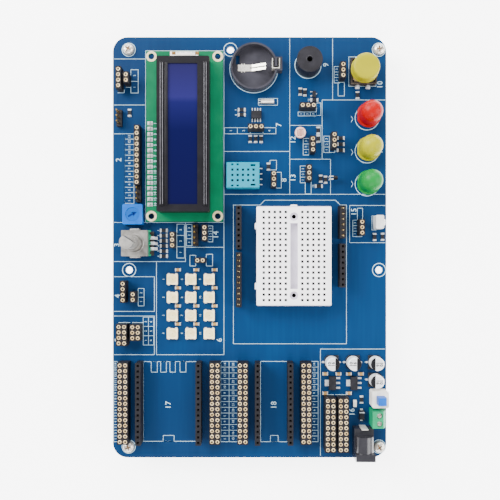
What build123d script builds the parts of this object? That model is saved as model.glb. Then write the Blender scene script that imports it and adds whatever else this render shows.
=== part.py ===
"""Teaching board for connected electronics, on four standoffs.

The origin is under the board's centre, on the surface that the standoffs stand on.
X runs across the board, Y along it, Z up. Most places are given on a grid that spans the
board, counted from its centre, and the rest from the edge that they belong to.
"""
from build123d import *
import os
from math import cos, radians, sin

os.makedirs("parts", exist_ok=True)

# Main board
board_width = 130.0
board_length = 200.0
board_thickness = 1.6
board_corner = 7.0
grid_columns = 130
grid_rows = 200
west = -board_width / 2
east = board_width / 2
south = -board_length / 2
north = board_length / 2


def spot(x, y):
    """A place on the grid that spans the board, counted from its centre."""
    return (x * board_width / grid_columns, y * board_length / grid_rows)


def spot_from_south(x, reach):
    """A place across the grid, at a distance from the board's south edge."""
    return (spot(x, 0)[0], south + reach)


# Fasteners
screw_inset_west = 7.5
screw_inset_east = 3.5
screw_inset_north = 6.0
screw_inset_south = 5.2
screw_clearance_radius = 1.6
spare_hole_radius = 1.7
spare_hole_places = [(spot(-9.1, 0)[0], north - screw_inset_north), spot(-57.3, -10.8), spot(61.6, -10.8)]
standoff_length = 10.0
standoff_flats = 5.0
thread_radius = 1.5
thread_clearance = 0.05
screw_head_radius = 2.7
screw_head_height = 2.2
screw_head_taper = 20
screw_length = 6.0

# Sides of the round pieces that repeat or that others cover
fine_sides = 24
plain_sides = 12
can_sides = 20
lamp_sides = 18
large_sides = 36

# Common sizes of the sockets, headers and chips
pitch = 2.54
square_socket_height = 8.5
square_socket_hole = 1.1
square_socket_depth = 2.0
round_strip_height = 7.0
round_strip_hole = 0.9
round_strip_depth = 1.6
header_base_height = 2.54
header_pin_width = 0.64
header_pin_height = 8.6
chip_length = 3.2
chip_width = 1.6
resistor_height = 0.6
capacitor_height = 1.1
small_chip_length = 2.3
small_chip_width = 1.4
lead_thickness = 0.25
wire_width = 0.5

# Display
display_place = (spot(-30.5, 0)[0], 52.0)
display_width = 36.0
display_length = 80.0
display_board_thickness = 1.6
display_hole_inset = 2.5
display_hole_radius = 1.45
display_pin_count = 16
display_pin_inset = 1.6
display_pin_shift = -13.0
bezel_width = 24.2
bezel_length = 71.2
bezel_height = 7.8
bezel_shift = -0.3
bezel_wall = 0.5
window_width = 14.4
window_margin = 3.35
window_shift = -0.6
rail_width = 1.3
rail_margin = 2.6
rail_height = 0.4
rail_inset = 2.3
backlight_clearance = 0.1
backlight_tab_width = 13.0
backlight_tab_height = 2.4
backlight_tab_inset = 1.0
glass_thickness = 1.6
blob_radius = 5.5
blob_height = 1.6
blob_spacing = 34.0

# Trimmer
trimmer_place = spot(-54.9, 15.4)
trimmer_width = 9.5
trimmer_height = 4.8
trimmer_rotor_radius = 3.2
trimmer_rotor_depth = 2.0
trimmer_rotor_drop = 0.2
trimmer_running_gap = 0.05
arrow_length = 4.6
arrow_head = 2.2
arrow_stem = 0.8
arrow_depth = 0.5
arrow_angle = 28.0

# Encoder
encoder_place = spot(-53.65, 1.75)
encoder_width = 12.3
encoder_depth = 12.1
encoder_wall = 0.35
encoder_floor = 1.0
encoder_plate_bottom = 4.6
encoder_plate_top = 6.6
encoder_wafer_reach = 8.2
encoder_bushing_radius = 3.5
encoder_bushing_top = 13.6
encoder_shaft_radius = 3.0
encoder_guide_radius = 2.9
encoder_guide_above = 1.0
encoder_shaft_top = 26.5
encoder_flat_length = 7.0
encoder_flat_offset = 1.5
encoder_flat_angle = 57.0
encoder_rotor_radius = 4.6
encoder_rotor_gap = 0.1
encoder_tail_radius = 2.0
encoder_tail_flat = 1.2
encoder_running_gap = 0.04
encoder_travel = 0.5
encoder_terminal_pitch = 2.5
encoder_terminal_width = 1.4
encoder_terminal_reach = 10.0
encoder_tab_width = 2.6

# Coin cell holder
cell_place = spot(2.0, 84.9)
cell_outer_radius = 11.0
cell_well_radius = 10.15
cell_holder_height = 5.0
cell_floor = 1.0
cell_block_width = 5.0
cell_block_length = 6.4
cell_block_shift = 1.0
cell_block_west = 8.3
cell_block_wall = 0.9
cell_block_end_wall = 0.6
cell_slot_shift = (-7.6, 4.0)
cell_slot_width = 1.8
cell_slot_length = 4.4
clip_thickness = 0.35
clip_gap = 0.25
clip_height = 5.6
post_gap = 0.8
fork_thickness = 0.4
fork_width = 3.0
fork_slit = 0.6
fork_barb_width = 4.0
fork_barb_length = 0.55
fork_barb_steps = (1.8, 3.0)
fork_slit_start = -1.8
fork_start = -7.5
fork_bend = -1.0
fork_end = 5.6
fork_rise = 3.2

# Clock, sensors and buzzer
clock_chip_place = spot(3.2, 62.9)
clock_chip_width = 4.9
clock_chip_depth = 3.9
clock_chip_height = 1.6
clock_leg_pitch = 1.27
clock_leg_span = 6.6
clock_leg_width = 0.5
crystal_place = spot(8.5, 69.2)
crystal_radius = 1.0
crystal_length = 6.0
humidity_place = spot(-3.1, 33.65)
humidity_width = 15.5
humidity_depth = 12.0
humidity_height = 5.9
humidity_wall = 1.2
humidity_vent = 1.0
humidity_vent_pitch = 2.47
humidity_slot_length = 2.2
humidity_board_thickness = 0.8
humidity_gap = 0.05
buzzer_place = spot(27.8, 86.6)
buzzer_radius = 6.0
buzzer_height = 9.5
buzzer_hole_radius = 1.25
buzzer_hole_depth = 5.0
light_sensor_place = spot(23.9, 54.0)
light_sensor_radius = 2.55
light_sensor_thickness = 2.0
light_sensor_lift = 1.5
light_sensor_lead_spacing = 3.4
thermistor_place = spot(40.4, 32.7)
thermistor_lift = 3.2
thermistor_radius = 1.0
thermistor_length = 1.9
thermistor_lead_reach = 1.9
thermistor_lead_spacing = 1.3
receiver_place = spot(60.25, 11.55)
receiver_depth = 3.7
receiver_width = 6.3
receiver_bottom = 1.5
receiver_top = 9.2
receiver_lens_radius = 1.9
receiver_lens_reach = 1.2

# Push button
button_place = spot(53.65, 82.8)
button_width = 12.0
button_base_height = 3.4
button_pocket_floor = 1.0
button_cover_thickness = 0.4
button_collar_radius = 3.4
button_running_gap = 0.1
button_stem_width = 3.2
button_stem_top = 9.6
button_rest_gap = 0.4
button_rivet_radius = 0.6
button_rivet_inset = 1.5
button_rivet_height = 0.3
cap_bottom = 6.2
cap_rim_radius = 6.5
cap_rim_height = 1.4
cap_body_radius = 5.8
cap_top = 12.0
cap_edge_bevel = 0.8
button_terminal_spacing = 5.0
button_terminal_width = 1.1
button_terminal_reach = 0.7

# Traffic lamps
lamp_places = [spot(55.6, 61.6), spot(55.6, 45.9), spot(55.6, 30.2)]
lamp_lift = 5.0
lamp_flange_radius = 5.75
lamp_flange_height = 1.5
lamp_radius = 5.0
lamp_straight_top = 13.8
lamp_dome_angles = (0, 30, 60, 78)
lamp_lead_spacing = 2.54

# Breadboard
breadboard_place = spot(20.5, -4.25)
breadboard_width = 34.6
breadboard_length = 46.0
breadboard_height = 8.6
breadboard_pad_height = 0.8
breadboard_rows = 17
breadboard_columns = 5
breadboard_bank_gap = 7.62
breadboard_hole = 1.0
breadboard_hole_depth = 1.8
breadboard_channel_width = 3.4
breadboard_channel_length = 30.3
breadboard_channel_depth = 3.5
breadboard_screw_radius = 1.05
breadboard_counterbore_radius = 1.65
breadboard_counterbore_depth = 3.0
breadboard_screw_spacing = 36.4
breadboard_tab_width = 4.2
breadboard_tab_reach = 1.25
breadboard_tab_height = 6.0

# Colour pixels
pixel_first = spot(-36.6, -15.2)
pixel_step_x = 8.73
pixel_step_y = 8.58
pixel_width = 5.2
pixel_length = 5.4
pixel_height = 1.6
pixel_capacitor_shift = (2.55, 4.5)

# Power section
can_places = [
    spot_from_south(38.9, 45.4), spot_from_south(49.0, 45.4), spot_from_south(59.6, 45.4),
    spot_from_south(59.6, 37.1),
]
can_marks_east = [True, True, False, False]
can_base_width = 6.6
can_base_height = 1.0
can_base_corner = 1.4
can_radius = 3.15
can_top = 6.9
regulator_places = [spot_from_south(39.4, 35.5), spot_from_south(49.6, 35.5)]
regulator_width = 3.5
regulator_length = 6.5
regulator_height = 1.7
regulator_tab_width = 3.0
regulator_reach = 7.2
regulator_leg_pitch = 2.3
regulator_leg_width = 0.9
diode_place = spot_from_south(53.2, 20.4)
diode_width = 2.6
diode_length = 4.4
diode_height = 2.1
diode_reach = 5.8
status_lamp_place = spot_from_south(50.0, 25.9)
transistor_place = spot(30.7, 72.7)
transistor_width = 1.5
transistor_length = 2.9
transistor_height = 1.0
switch_inset = 4.1
switch_reach = 28.9
switch_width = 7.8
switch_height = 7.0
switch_floor = 0.8
switch_roof = 1.5
plunger_width = 3.7
plunger_gap = 0.05
plunger_top = 12.0
plunger_stop_gap = 0.05
plunger_collar = 0.7
plunger_collar_height = 1.2

# Screw terminal
terminal_inset = 4.9
terminal_reach = 20.0
terminal_depth = 6.6
terminal_width = 7.8
terminal_height = 9.2
terminal_pitch = 3.7
terminal_slope = 1.6
terminal_slope_drop = 3.0
terminal_well_radius = 1.35
terminal_head_radius = 1.25
terminal_head_length = 1.6
terminal_shank_radius = 0.8
terminal_shank_length = 2.6
terminal_slot_width = 0.45
terminal_slot_depth = 0.6
terminal_running_gap = 0.05
cage_width = 2.7
cage_depth = 3.6
cage_height = 3.4
cage_wall = 0.5
cage_travel = 1.5
chamber_gap = 0.1
chamber_floor = 1.2
ledge_thickness = 0.4
tongue_thickness = 0.3
tongue_gap = 0.1
tongue_width = 1.4
entry_width = 1.8

# Barrel jack
jack_inset_east = 11.6
jack_inset_south = 1.2
jack_width = 9.0
jack_length = 14.0
jack_height = 11.0
jack_front_length = 3.3
jack_barrel_length = 7.6
jack_barrel_radius = 4.3
jack_axis_height = 6.5
jack_rear_height = 6.0
jack_bore_radius = 3.2
jack_bore_depth = 9.6
jack_pin_radius = 1.0
jack_pin_length = 9.0
jack_lug_width = 3.0
jack_lug_thickness = 0.4
jack_lug_top = 8.6

# Places of the two-terminal chips, each (x, y), by the way they lie
resistors_across = [
    spot(-40.75, 8.0), spot(-40.75, 5.55), spot(-40.75, 3.1), spot(-40.75, 0.65),
    spot(-40.75, -1.8), spot(-40.75, -4.2), spot(-3.75, 65.35), spot(-3.75, 63.05),
    spot(43.3, 51.9), spot(43.3, 49.0), spot(43.3, 46.1), spot(30.8, 70.0), spot(32.9, 29.1),
]
resistors_along = [
    spot(0.3, 51.5), spot(2.9, 51.5), spot(5.5, 51.5), spot(26.3, 73.6), spot(24.1, 74.0),
    spot(51.3, 72.3), spot(32.6, 55.5), spot(32.6, 51.6), spot(36.1, 32.1), spot(33.8, 32.6),
    spot(9.0, 38.3), spot(59.4, 4.9), spot(63.2, 5.0), spot_from_south(53.2, 27.6),
]
small_chips_across = [
    spot_from_south(35.9, 39.9), spot_from_south(42.2, 39.9), spot_from_south(47.2, 39.9),
    spot_from_south(52.9, 39.9), spot_from_south(35.9, 30.7), spot_from_south(47.2, 30.7),
]

# Socket groups, each (place of its centre, columns, rows)
shield_place = spot(19.08, -3.04)
shield_row_spacing = 48.26
shield_west_gap = 1.52
shield_east_gap = 2.54
shield_west_shift = 1.27
shield_east_shift = 5.84
controller_reach = 27.1
controller_count = 15
wide_controller_x = -37.73
wide_controller_spacing = 27.94
narrow_controller_x = 11.37
narrow_controller_spacing = 15.24
controller_strips_x = [-59.1, -16.2, -3.2, 26.4]
power_strip_groups = [(spot_from_south(37.7, 17.0), 2, 10), (spot_from_south(43.7, 17.0), 2, 10)]
display_strip_x = -52.5
display_strip_shift = -9.1
display_strip_count = 11
display_header_count = 3
module_strip_groups = [
    (spot(-61.1, 79.0), 1, 4), (spot(-57.55, 79.0), 1, 2), (spot(-36.0, 3.35), 1, 3),
    (spot(-21.0, 6.6), 1, 3), (spot(-23.05, -6.2), 2, 1), (spot(-59.0, -20.9), 1, 4),
    (spot(-54.3, -23.3), 1, 2), (spot(-59.6, -41.0), 2, 4), (spot(-53.25, -39.9), 2, 3),
    (spot(3.0, 56.1), 3, 1), (spot(11.3, 31.7), 1, 3), (spot(27.3, 66.0), 3, 1),
    (spot(43.6, 82.5), 1, 3), (spot(29.5, 47.9), 1, 3), (spot(39.5, 49.85), 1, 3),
    (spot(27.75, 34.6), 1, 3), (spot(52.4, 9.2), 1, 3),
]
pin_header_groups = [(spot(-61.6, 61.0), 1, 3), (spot(-25.6, 5.7), 1, 4)]

# Derived places and levels
top = standoff_length + board_thickness
standing = (Align.CENTER, Align.CENTER, Align.MIN)
hanging = (Align.CENTER, Align.CENTER, Align.MAX)
corner_places = [
    (x, y)
    for x in (west + screw_inset_west, east - screw_inset_east)
    for y in (south + screw_inset_south, north - screw_inset_north)
]
display_x, display_y = display_place
display_strip_place = (spot(display_strip_x, 0)[0], display_y + display_strip_shift)
display_header_place = (
    display_strip_place[0],
    display_strip_place[1] - (display_strip_count + display_header_count) / 2 * pitch,
)
module_strip_groups.append((display_strip_place, 1, display_strip_count))
pin_header_groups.append((display_header_place, 1, display_header_count))
display_bottom = top + header_base_height
display_top = display_bottom + display_board_thickness
bezel_place = (display_x, display_y + bezel_shift)
bezel_ceiling = bezel_height - bezel_wall
window_length = bezel_length - 2 * window_margin
rail_length = bezel_length - 2 * rail_margin


def pin_places(group):
    """Centres of the contacts of one group of columns and rows at the common pitch."""
    (x, y), columns, rows = group
    return [
        (x + (i - (columns - 1) / 2) * pitch, y + (j - (rows - 1) / 2) * pitch)
        for i in range(columns)
        for j in range(rows)
    ]


def above(place, height):
    """A point above the board's top face."""
    return (place[0], place[1], top + height)


def funnel(side, depth):
    """The entry of a contact: a square mouth that narrows to a point."""
    with BuildPart() as body:
        with BuildSketch() as mouth:
            Rectangle(side, side)
        loft(sections=[mouth.sketch.face(), Vertex(0, 0, -depth)])
    return body.part


def strips(groups, height, mouth, depth):
    """Plastic strips standing on the board, with a funnel over each contact."""
    with BuildPart() as body:
        for (x, y), columns, rows in groups:
            with Locations((x, y, top)):
                Box(columns * pitch, rows * pitch, height, align=standing)
        with Locations(*[
            above(place, height) for group in groups for place in pin_places(group)
        ]):
            add(funnel(mouth, depth), mode=Mode.SUBTRACT)
    return body


# Main board, standoffs and screws
with BuildPart() as main_board:
    with BuildSketch(Plane.XY.offset(standoff_length)):
        RectangleRounded(board_width, board_length, board_corner)
        with Locations(*corner_places):
            RegularPolygon(screw_clearance_radius, plain_sides, mode=Mode.SUBTRACT)
        with Locations(*spare_hole_places):
            Circle(spare_hole_radius, mode=Mode.SUBTRACT)
    extrude(amount=board_thickness)
main_board.part.label = "main_board"
export_step(main_board.part, "parts/main_board.step")

with BuildPart() as corner_standoffs:
    with BuildSketch():
        with Locations(*corner_places):
            RegularPolygon(standoff_flats / 2, 6, major_radius=False)
            Circle(thread_radius, mode=Mode.SUBTRACT)
    extrude(amount=standoff_length)
corner_standoffs.part.label = "corner_standoffs"
export_step(corner_standoffs.part, "parts/corner_standoffs.step")

with BuildPart() as corner_screws:
    with BuildSketch(Plane.XY.offset(top)):
        with Locations(*corner_places):
            RegularPolygon(screw_head_radius, plain_sides)
    extrude(amount=screw_head_height, taper=screw_head_taper)
    with BuildSketch(Plane.XY.offset(top)):
        with Locations(*corner_places):
            RegularPolygon(thread_radius - thread_clearance, plain_sides)
    extrude(amount=-screw_length)
corner_screws.part.label = "corner_screws"
export_step(corner_screws.part, "parts/corner_screws.step")

# Display module
display_holes = [
    (display_x + i * (display_width / 2 - display_hole_inset),
     display_y + j * (display_length / 2 - display_hole_inset))
    for i in (-1, 1)
    for j in (-1, 1)
]
display_pins_x = display_x - display_width / 2 + display_pin_inset
display_pins_y = display_y + display_pin_shift

with BuildPart() as display_board:
    with BuildSketch(Plane.XY.offset(display_bottom)):
        with Locations(display_place):
            Rectangle(display_width, display_length)
        with Locations(*display_holes):
            RegularPolygon(display_hole_radius, plain_sides, mode=Mode.SUBTRACT)
    extrude(amount=display_board_thickness)
display_board.part.label = "display_board"
export_step(display_board.part, "parts/display_board.step")

bezel_x, bezel_y = bezel_place
tab_end = display_y + display_length / 2 - backlight_tab_inset
tab_length = tab_end - bezel_y

with BuildPart() as display_bezel:
    with Locations((bezel_x, bezel_y, display_top)):
        Box(bezel_width, bezel_length, bezel_height, align=standing)
    chamfer(display_bezel.edges().filter_by(Axis.Z), bezel_wall)
    with Locations((bezel_x, bezel_y, display_top)):
        Box(bezel_width - 2 * bezel_wall, bezel_length - 2 * bezel_wall, bezel_ceiling,
            align=standing, mode=Mode.SUBTRACT)
    with Locations((bezel_x + window_shift, bezel_y, display_top)):
        Box(window_width, window_length, bezel_height, align=standing, mode=Mode.SUBTRACT)
    with BuildSketch(Plane.XY.offset(display_top + bezel_height)):
        with Locations(*[
            (bezel_x + side * (bezel_width / 2 - rail_inset), bezel_y) for side in (-1, 1)
        ]):
            Rectangle(rail_width, rail_length)
    extrude(amount=rail_height, taper=30)
    with Locations((bezel_x, bezel_y + bezel_length / 2, display_top)):
        Box(backlight_tab_width + 2 * backlight_clearance, 4 * bezel_wall,
            backlight_tab_height + backlight_clearance, align=standing, mode=Mode.SUBTRACT)
display_bezel.part.label = "display_bezel"
export_step(display_bezel.part, "parts/display_bezel.step")

lit_width = bezel_width - 2 * bezel_wall - 2 * backlight_clearance
lit_length = bezel_length - 2 * bezel_wall - 2 * backlight_clearance
backlight_height = bezel_ceiling - glass_thickness

with BuildPart() as display_backlight:
    with Locations((bezel_x, bezel_y, display_top)):
        Box(lit_width, lit_length, backlight_height, align=standing)
        Box(backlight_tab_width, tab_length, backlight_tab_height,
            align=(Align.CENTER, Align.MIN, Align.MIN))
display_backlight.part.label = "display_backlight"
export_step(display_backlight.part, "parts/display_backlight.step")

with BuildPart() as display_glass:
    with Locations((bezel_x, bezel_y, display_top + backlight_height)):
        Box(lit_width, lit_length, glass_thickness, align=standing)
display_glass.part.label = "display_glass"
export_step(display_glass.part, "parts/display_glass.step")

with BuildPart() as display_driver_blobs:
    with BuildSketch(Plane.XY.offset(display_bottom)):
        with Locations(*[(display_x, display_y + side * blob_spacing / 2) for side in (-1, 1)]):
            RegularPolygon(blob_radius, plain_sides)
    extrude(amount=-blob_height)
display_driver_blobs.part.label = "display_driver_blobs"
export_step(display_driver_blobs.part, "parts/display_driver_blobs.step")

# Trimmer
trimmer_floor = trimmer_height - trimmer_rotor_depth

with BuildPart() as trimmer_body:
    with Locations(above(trimmer_place, 0)):
        Box(trimmer_width, trimmer_width, trimmer_height, align=standing)
    chamfer(trimmer_body.edges().filter_by(Axis.Z), 0.5)
    with BuildSketch(Plane.XY.offset(top + trimmer_height)):
        with Locations(trimmer_place):
            RegularPolygon(trimmer_rotor_radius + trimmer_running_gap, large_sides,
                           major_radius=False)
    extrude(amount=-trimmer_rotor_depth, mode=Mode.SUBTRACT)
trimmer_body.part.label = "trimmer_body"
export_step(trimmer_body.part, "parts/trimmer_body.step")

with BuildPart() as trimmer_rotor:
    with BuildSketch(Plane.XY.offset(top + trimmer_floor)):
        with Locations(trimmer_place):
            RegularPolygon(trimmer_rotor_radius, large_sides)
    extrude(amount=trimmer_rotor_depth - trimmer_rotor_drop)
    with BuildSketch(
        Plane(origin=above(trimmer_place, trimmer_height - trimmer_rotor_drop))
        .rotated((0, 0, arrow_angle))
    ):
        with BuildLine():
            Polyline(
                (-arrow_length / 2, -arrow_stem / 2),
                (arrow_length / 2 - arrow_head, -arrow_stem / 2),
                (arrow_length / 2 - arrow_head, -arrow_head / 2),
                (arrow_length / 2, 0),
                (arrow_length / 2 - arrow_head, arrow_head / 2),
                (arrow_length / 2 - arrow_head, arrow_stem / 2),
                (-arrow_length / 2, arrow_stem / 2),
                close=True,
            )
        make_face()
    extrude(amount=-arrow_depth, mode=Mode.SUBTRACT)
trimmer_rotor.part.label = "trimmer_rotor"
export_step(trimmer_rotor.part, "parts/trimmer_rotor.step")

# Rotary encoder: moulded housing, die-cast frame with its bushing, rotor, shaft, terminals
encoder_x, encoder_y = encoder_place
encoder_inner_width = encoder_width - 2 * encoder_wall
encoder_inner_depth = encoder_depth - 2 * encoder_wall
wafer_west = -encoder_inner_width / 2
encoder_tail_bottom = encoder_floor + encoder_travel + 0.3
encoder_shoulder = encoder_plate_bottom + encoder_travel + 0.1
knob_seat = encoder_bushing_top + encoder_guide_above

with BuildPart() as encoder_housing:
    with Locations(above((encoder_x + wafer_west, encoder_y), 0)):
        Box(encoder_wafer_reach - wafer_west, encoder_inner_depth, encoder_floor,
            align=(Align.MIN, Align.CENTER, Align.MIN))
    with Locations(above(encoder_place, encoder_floor)):
        Box(encoder_inner_width, encoder_inner_depth, encoder_plate_bottom - encoder_floor,
            align=standing)
    with BuildSketch(Plane.XY.offset(top + encoder_plate_bottom)):
        with Locations(encoder_place):
            RegularPolygon(encoder_rotor_radius + encoder_rotor_gap, fine_sides, major_radius=False)
    extrude(amount=encoder_floor - encoder_plate_bottom, mode=Mode.SUBTRACT)
encoder_housing.part.label = "encoder_housing"
export_step(encoder_housing.part, "parts/encoder_housing.step")

skirt_bottom = encoder_floor + 0.6

with BuildPart() as encoder_frame:
    with Locations(above(encoder_place, skirt_bottom)):
        Box(encoder_width, encoder_depth, encoder_plate_top - skirt_bottom, align=standing)
    chamfer(encoder_frame.edges().filter_by(Axis.Z), 0.8 * encoder_wall)
    with Locations(above(encoder_place, skirt_bottom)):
        Box(encoder_inner_width, encoder_inner_depth, encoder_plate_bottom - skirt_bottom,
            align=standing, mode=Mode.SUBTRACT)
    with Locations(above(encoder_place, encoder_plate_top)):
        Cylinder(encoder_bushing_radius, encoder_bushing_top - encoder_plate_top, align=standing)
    with Locations(*[
        above((encoder_x, encoder_y + side * (encoder_depth + encoder_wall) / 2), 0)
        for side in (-1, 1)
    ]):
        Box(encoder_tab_width, encoder_wall, encoder_plate_top, align=standing)
    with Locations(above(encoder_place, encoder_plate_bottom)):
        Cylinder(encoder_guide_radius + encoder_running_gap,
                 encoder_bushing_top - encoder_plate_bottom, align=standing, mode=Mode.SUBTRACT)
encoder_frame.part.label = "encoder_frame"
export_step(encoder_frame.part, "parts/encoder_frame.step")

rotor_bottom = encoder_floor + 0.5
rotor_top = encoder_plate_bottom - encoder_rotor_gap

with BuildPart() as encoder_rotor:
    with BuildSketch(Plane.XY.offset(top + rotor_bottom)):
        with Locations(encoder_place):
            RegularPolygon(encoder_rotor_radius, fine_sides)
    extrude(amount=rotor_top - rotor_bottom)
    with BuildSketch(Plane.XY.offset(top + rotor_bottom)):
        with Locations(encoder_place):
            Circle(encoder_tail_radius + encoder_running_gap)
            with Locations((encoder_tail_flat + encoder_running_gap, 0)):
                Rectangle(encoder_tail_radius, 3 * encoder_tail_radius,
                          align=(Align.MIN, Align.CENTER), mode=Mode.SUBTRACT)
    extrude(amount=rotor_top - rotor_bottom, mode=Mode.SUBTRACT)
encoder_rotor.part.label = "encoder_rotor"
export_step(encoder_rotor.part, "parts/encoder_rotor.step")

flat_direction = (cos(radians(encoder_flat_angle)), sin(radians(encoder_flat_angle)))

with BuildPart() as encoder_shaft:
    with Locations(above(encoder_place, encoder_shoulder)):
        Cylinder(encoder_guide_radius, knob_seat - encoder_shoulder, align=standing)
    with Locations(above(encoder_place, knob_seat)):
        Cylinder(encoder_shaft_radius, encoder_shaft_top - knob_seat, align=standing)
    with BuildSketch(Plane.XY.offset(top + encoder_shoulder)):
        with Locations(encoder_place):
            Circle(encoder_tail_radius)
            with Locations((encoder_tail_flat, 0)):
                Rectangle(encoder_tail_radius, 3 * encoder_tail_radius,
                          align=(Align.MIN, Align.CENTER), mode=Mode.SUBTRACT)
    extrude(amount=encoder_tail_bottom - encoder_shoulder)
    with BuildSketch(
        Plane(
            origin=above(
                (encoder_x + flat_direction[0] * encoder_flat_offset,
                 encoder_y + flat_direction[1] * encoder_flat_offset),
                encoder_shaft_top,
            ),
            x_dir=(*flat_direction, 0),
            z_dir=(0, 0, 1),
        )
    ):
        Rectangle(encoder_shaft_radius, 3 * encoder_shaft_radius, align=(Align.MIN, Align.CENTER))
    extrude(amount=-encoder_flat_length, mode=Mode.SUBTRACT)
encoder_shaft.part.label = "encoder_shaft"
export_step(encoder_shaft.part, "parts/encoder_shaft.step")

with BuildPart() as encoder_terminals:
    with BuildSketch(Plane.XZ.offset(-encoder_y)):
        with BuildLine():
            Polyline(
                (encoder_x + encoder_wafer_reach, top + encoder_floor),
                (encoder_x + encoder_inner_width / 2, top + encoder_floor),
                (encoder_x + encoder_inner_width / 2, top + encoder_floor + lead_thickness),
                (encoder_x + encoder_terminal_reach, top + encoder_floor + lead_thickness),
                (encoder_x + encoder_terminal_reach, top),
                (encoder_x + encoder_terminal_reach - lead_thickness, top),
                (encoder_x + encoder_terminal_reach - lead_thickness, top + encoder_floor),
                close=True,
            )
        make_face()
    extrude(amount=encoder_terminal_width / 2, both=True)
    add(encoder_terminals.part.moved(Location((0, encoder_terminal_pitch, 0))))
    add(encoder_terminals.part.moved(Location((0, -encoder_terminal_pitch, 0))))
encoder_terminals.part.label = "encoder_terminals"
export_step(encoder_terminals.part, "parts/encoder_terminals.step")

# Coin cell holder with its fork and clip contacts
cell_x, cell_y = cell_place
block_x = cell_x + cell_block_west
block_y = cell_y + cell_block_shift
block_east = block_x + cell_block_width
pocket_west = block_x
pocket_east = block_east - cell_block_wall
pocket_south = block_y - cell_block_length / 2 + cell_block_end_wall
pocket_north = block_y + cell_block_length / 2 - cell_block_end_wall
well_depth = cell_holder_height - cell_floor

with BuildPart() as cell_holder:
    with BuildSketch(Plane.XY.offset(top)):
        with Locations(cell_place):
            RegularPolygon(cell_outer_radius, large_sides)
        with Locations((block_x, block_y)):
            Rectangle(cell_block_width, cell_block_length, align=(Align.MIN, Align.CENTER))
    extrude(amount=cell_holder_height)
    with BuildSketch(Plane.XY.offset(top + cell_holder_height)):
        with Locations(cell_place):
            RegularPolygon(cell_well_radius, large_sides)
    extrude(amount=-well_depth, mode=Mode.SUBTRACT)
    with Locations(above((pocket_west, pocket_south), cell_floor)):
        Box(pocket_east - pocket_west, pocket_north - pocket_south, well_depth,
            align=Align.MIN, mode=Mode.SUBTRACT)
    with Locations(above((pocket_west + clip_thickness + clip_gap + post_gap,
                          pocket_south + clip_thickness + clip_gap + post_gap), cell_floor)):
        Box(pocket_east - pocket_west - 2 * (clip_thickness + clip_gap + post_gap),
            pocket_north - pocket_south - 2 * (clip_thickness + clip_gap), well_depth,
            align=Align.MIN)
    with Locations(above((cell_x + cell_slot_shift[0], cell_y + cell_slot_shift[1]), 0)):
        Box(cell_slot_width, cell_slot_length, cell_floor, align=standing, mode=Mode.SUBTRACT)
cell_holder.part.label = "cell_holder"
export_step(cell_holder.part, "parts/cell_holder.step")

clip_west = pocket_west + clip_gap
clip_east = pocket_east - clip_gap
clip_south = pocket_south + clip_gap
clip_north = pocket_north - clip_gap

with BuildPart() as cell_clip:
    with BuildSketch(Plane.XY.offset(top + cell_floor)):
        with Locations((clip_west, clip_south)):
            Rectangle(clip_east - clip_west, clip_north - clip_south, align=Align.MIN)
        with Locations((clip_west + clip_thickness, clip_south + clip_thickness)):
            Rectangle(clip_east - clip_west - 2 * clip_thickness, clip_north - clip_south,
                      align=Align.MIN, mode=Mode.SUBTRACT)
    extrude(amount=clip_height - cell_floor)
cell_clip.part.label = "cell_clip"
export_step(cell_clip.part, "parts/cell_clip.step")

with BuildPart() as cell_fork:
    with BuildSketch(Plane.XZ.offset(-cell_y)):
        with BuildLine():
            Polyline(
                (cell_x + fork_start, top + cell_floor),
                (cell_x + fork_bend, top + cell_floor),
                (cell_x + fork_end, top + cell_floor + fork_rise),
                (cell_x + fork_end, top + cell_floor + fork_rise + fork_thickness),
                (cell_x + fork_bend, top + cell_floor + fork_thickness),
                (cell_x + fork_start, top + cell_floor + fork_thickness),
                close=True,
            )
        make_face()
    extrude(amount=fork_width / 2, both=True)
    with Locations(*[
        above((cell_x + fork_start + step, cell_y), cell_floor) for step in fork_barb_steps
    ]):
        Box(fork_barb_length, fork_barb_width, fork_thickness, align=standing)
    with Locations(above((cell_x + fork_slit_start, cell_y), 0)):
        Box(cell_outer_radius, fork_slit, 2 * cell_holder_height,
            align=(Align.MIN, Align.CENTER, Align.MIN), mode=Mode.SUBTRACT)
cell_fork.part.label = "cell_fork"
export_step(cell_fork.part, "parts/cell_fork.step")

# Clock chip and crystal
with BuildPart() as clock_chip:
    with BuildSketch(Plane.XY.offset(top)):
        with Locations(clock_chip_place):
            Rectangle(clock_chip_width, clock_chip_depth)
    extrude(amount=clock_chip_height, taper=8)
clock_chip.part.label = "clock_chip"
export_step(clock_chip.part, "parts/clock_chip.step")

with BuildPart() as clock_crystal:
    with BuildSketch(Plane.YZ.offset(crystal_place[0])):
        with Locations((crystal_place[1], top + crystal_radius)):
            RegularPolygon(crystal_radius, plain_sides, major_radius=False,
                           rotation=180 / plain_sides)
    extrude(amount=crystal_length / 2, both=True)
clock_crystal.part.label = "clock_crystal"
export_step(clock_crystal.part, "parts/clock_crystal.step")

# Humidity sensor: vented case over its sensing element
humidity_x, humidity_y = humidity_place
humidity_cavity = humidity_height - humidity_wall
vent_places = [
    (humidity_x + i * humidity_vent_pitch, humidity_y + j * humidity_vent_pitch)
    for i in (-2, -1, 0, 1, 2)
    for j in (-1, 0, 1)
]
slot_places = [
    (humidity_x + i * humidity_vent_pitch, humidity_y + j * 2 * humidity_vent_pitch)
    for i in (-2, -1)
    for j in (-1, 1)
]

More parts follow.
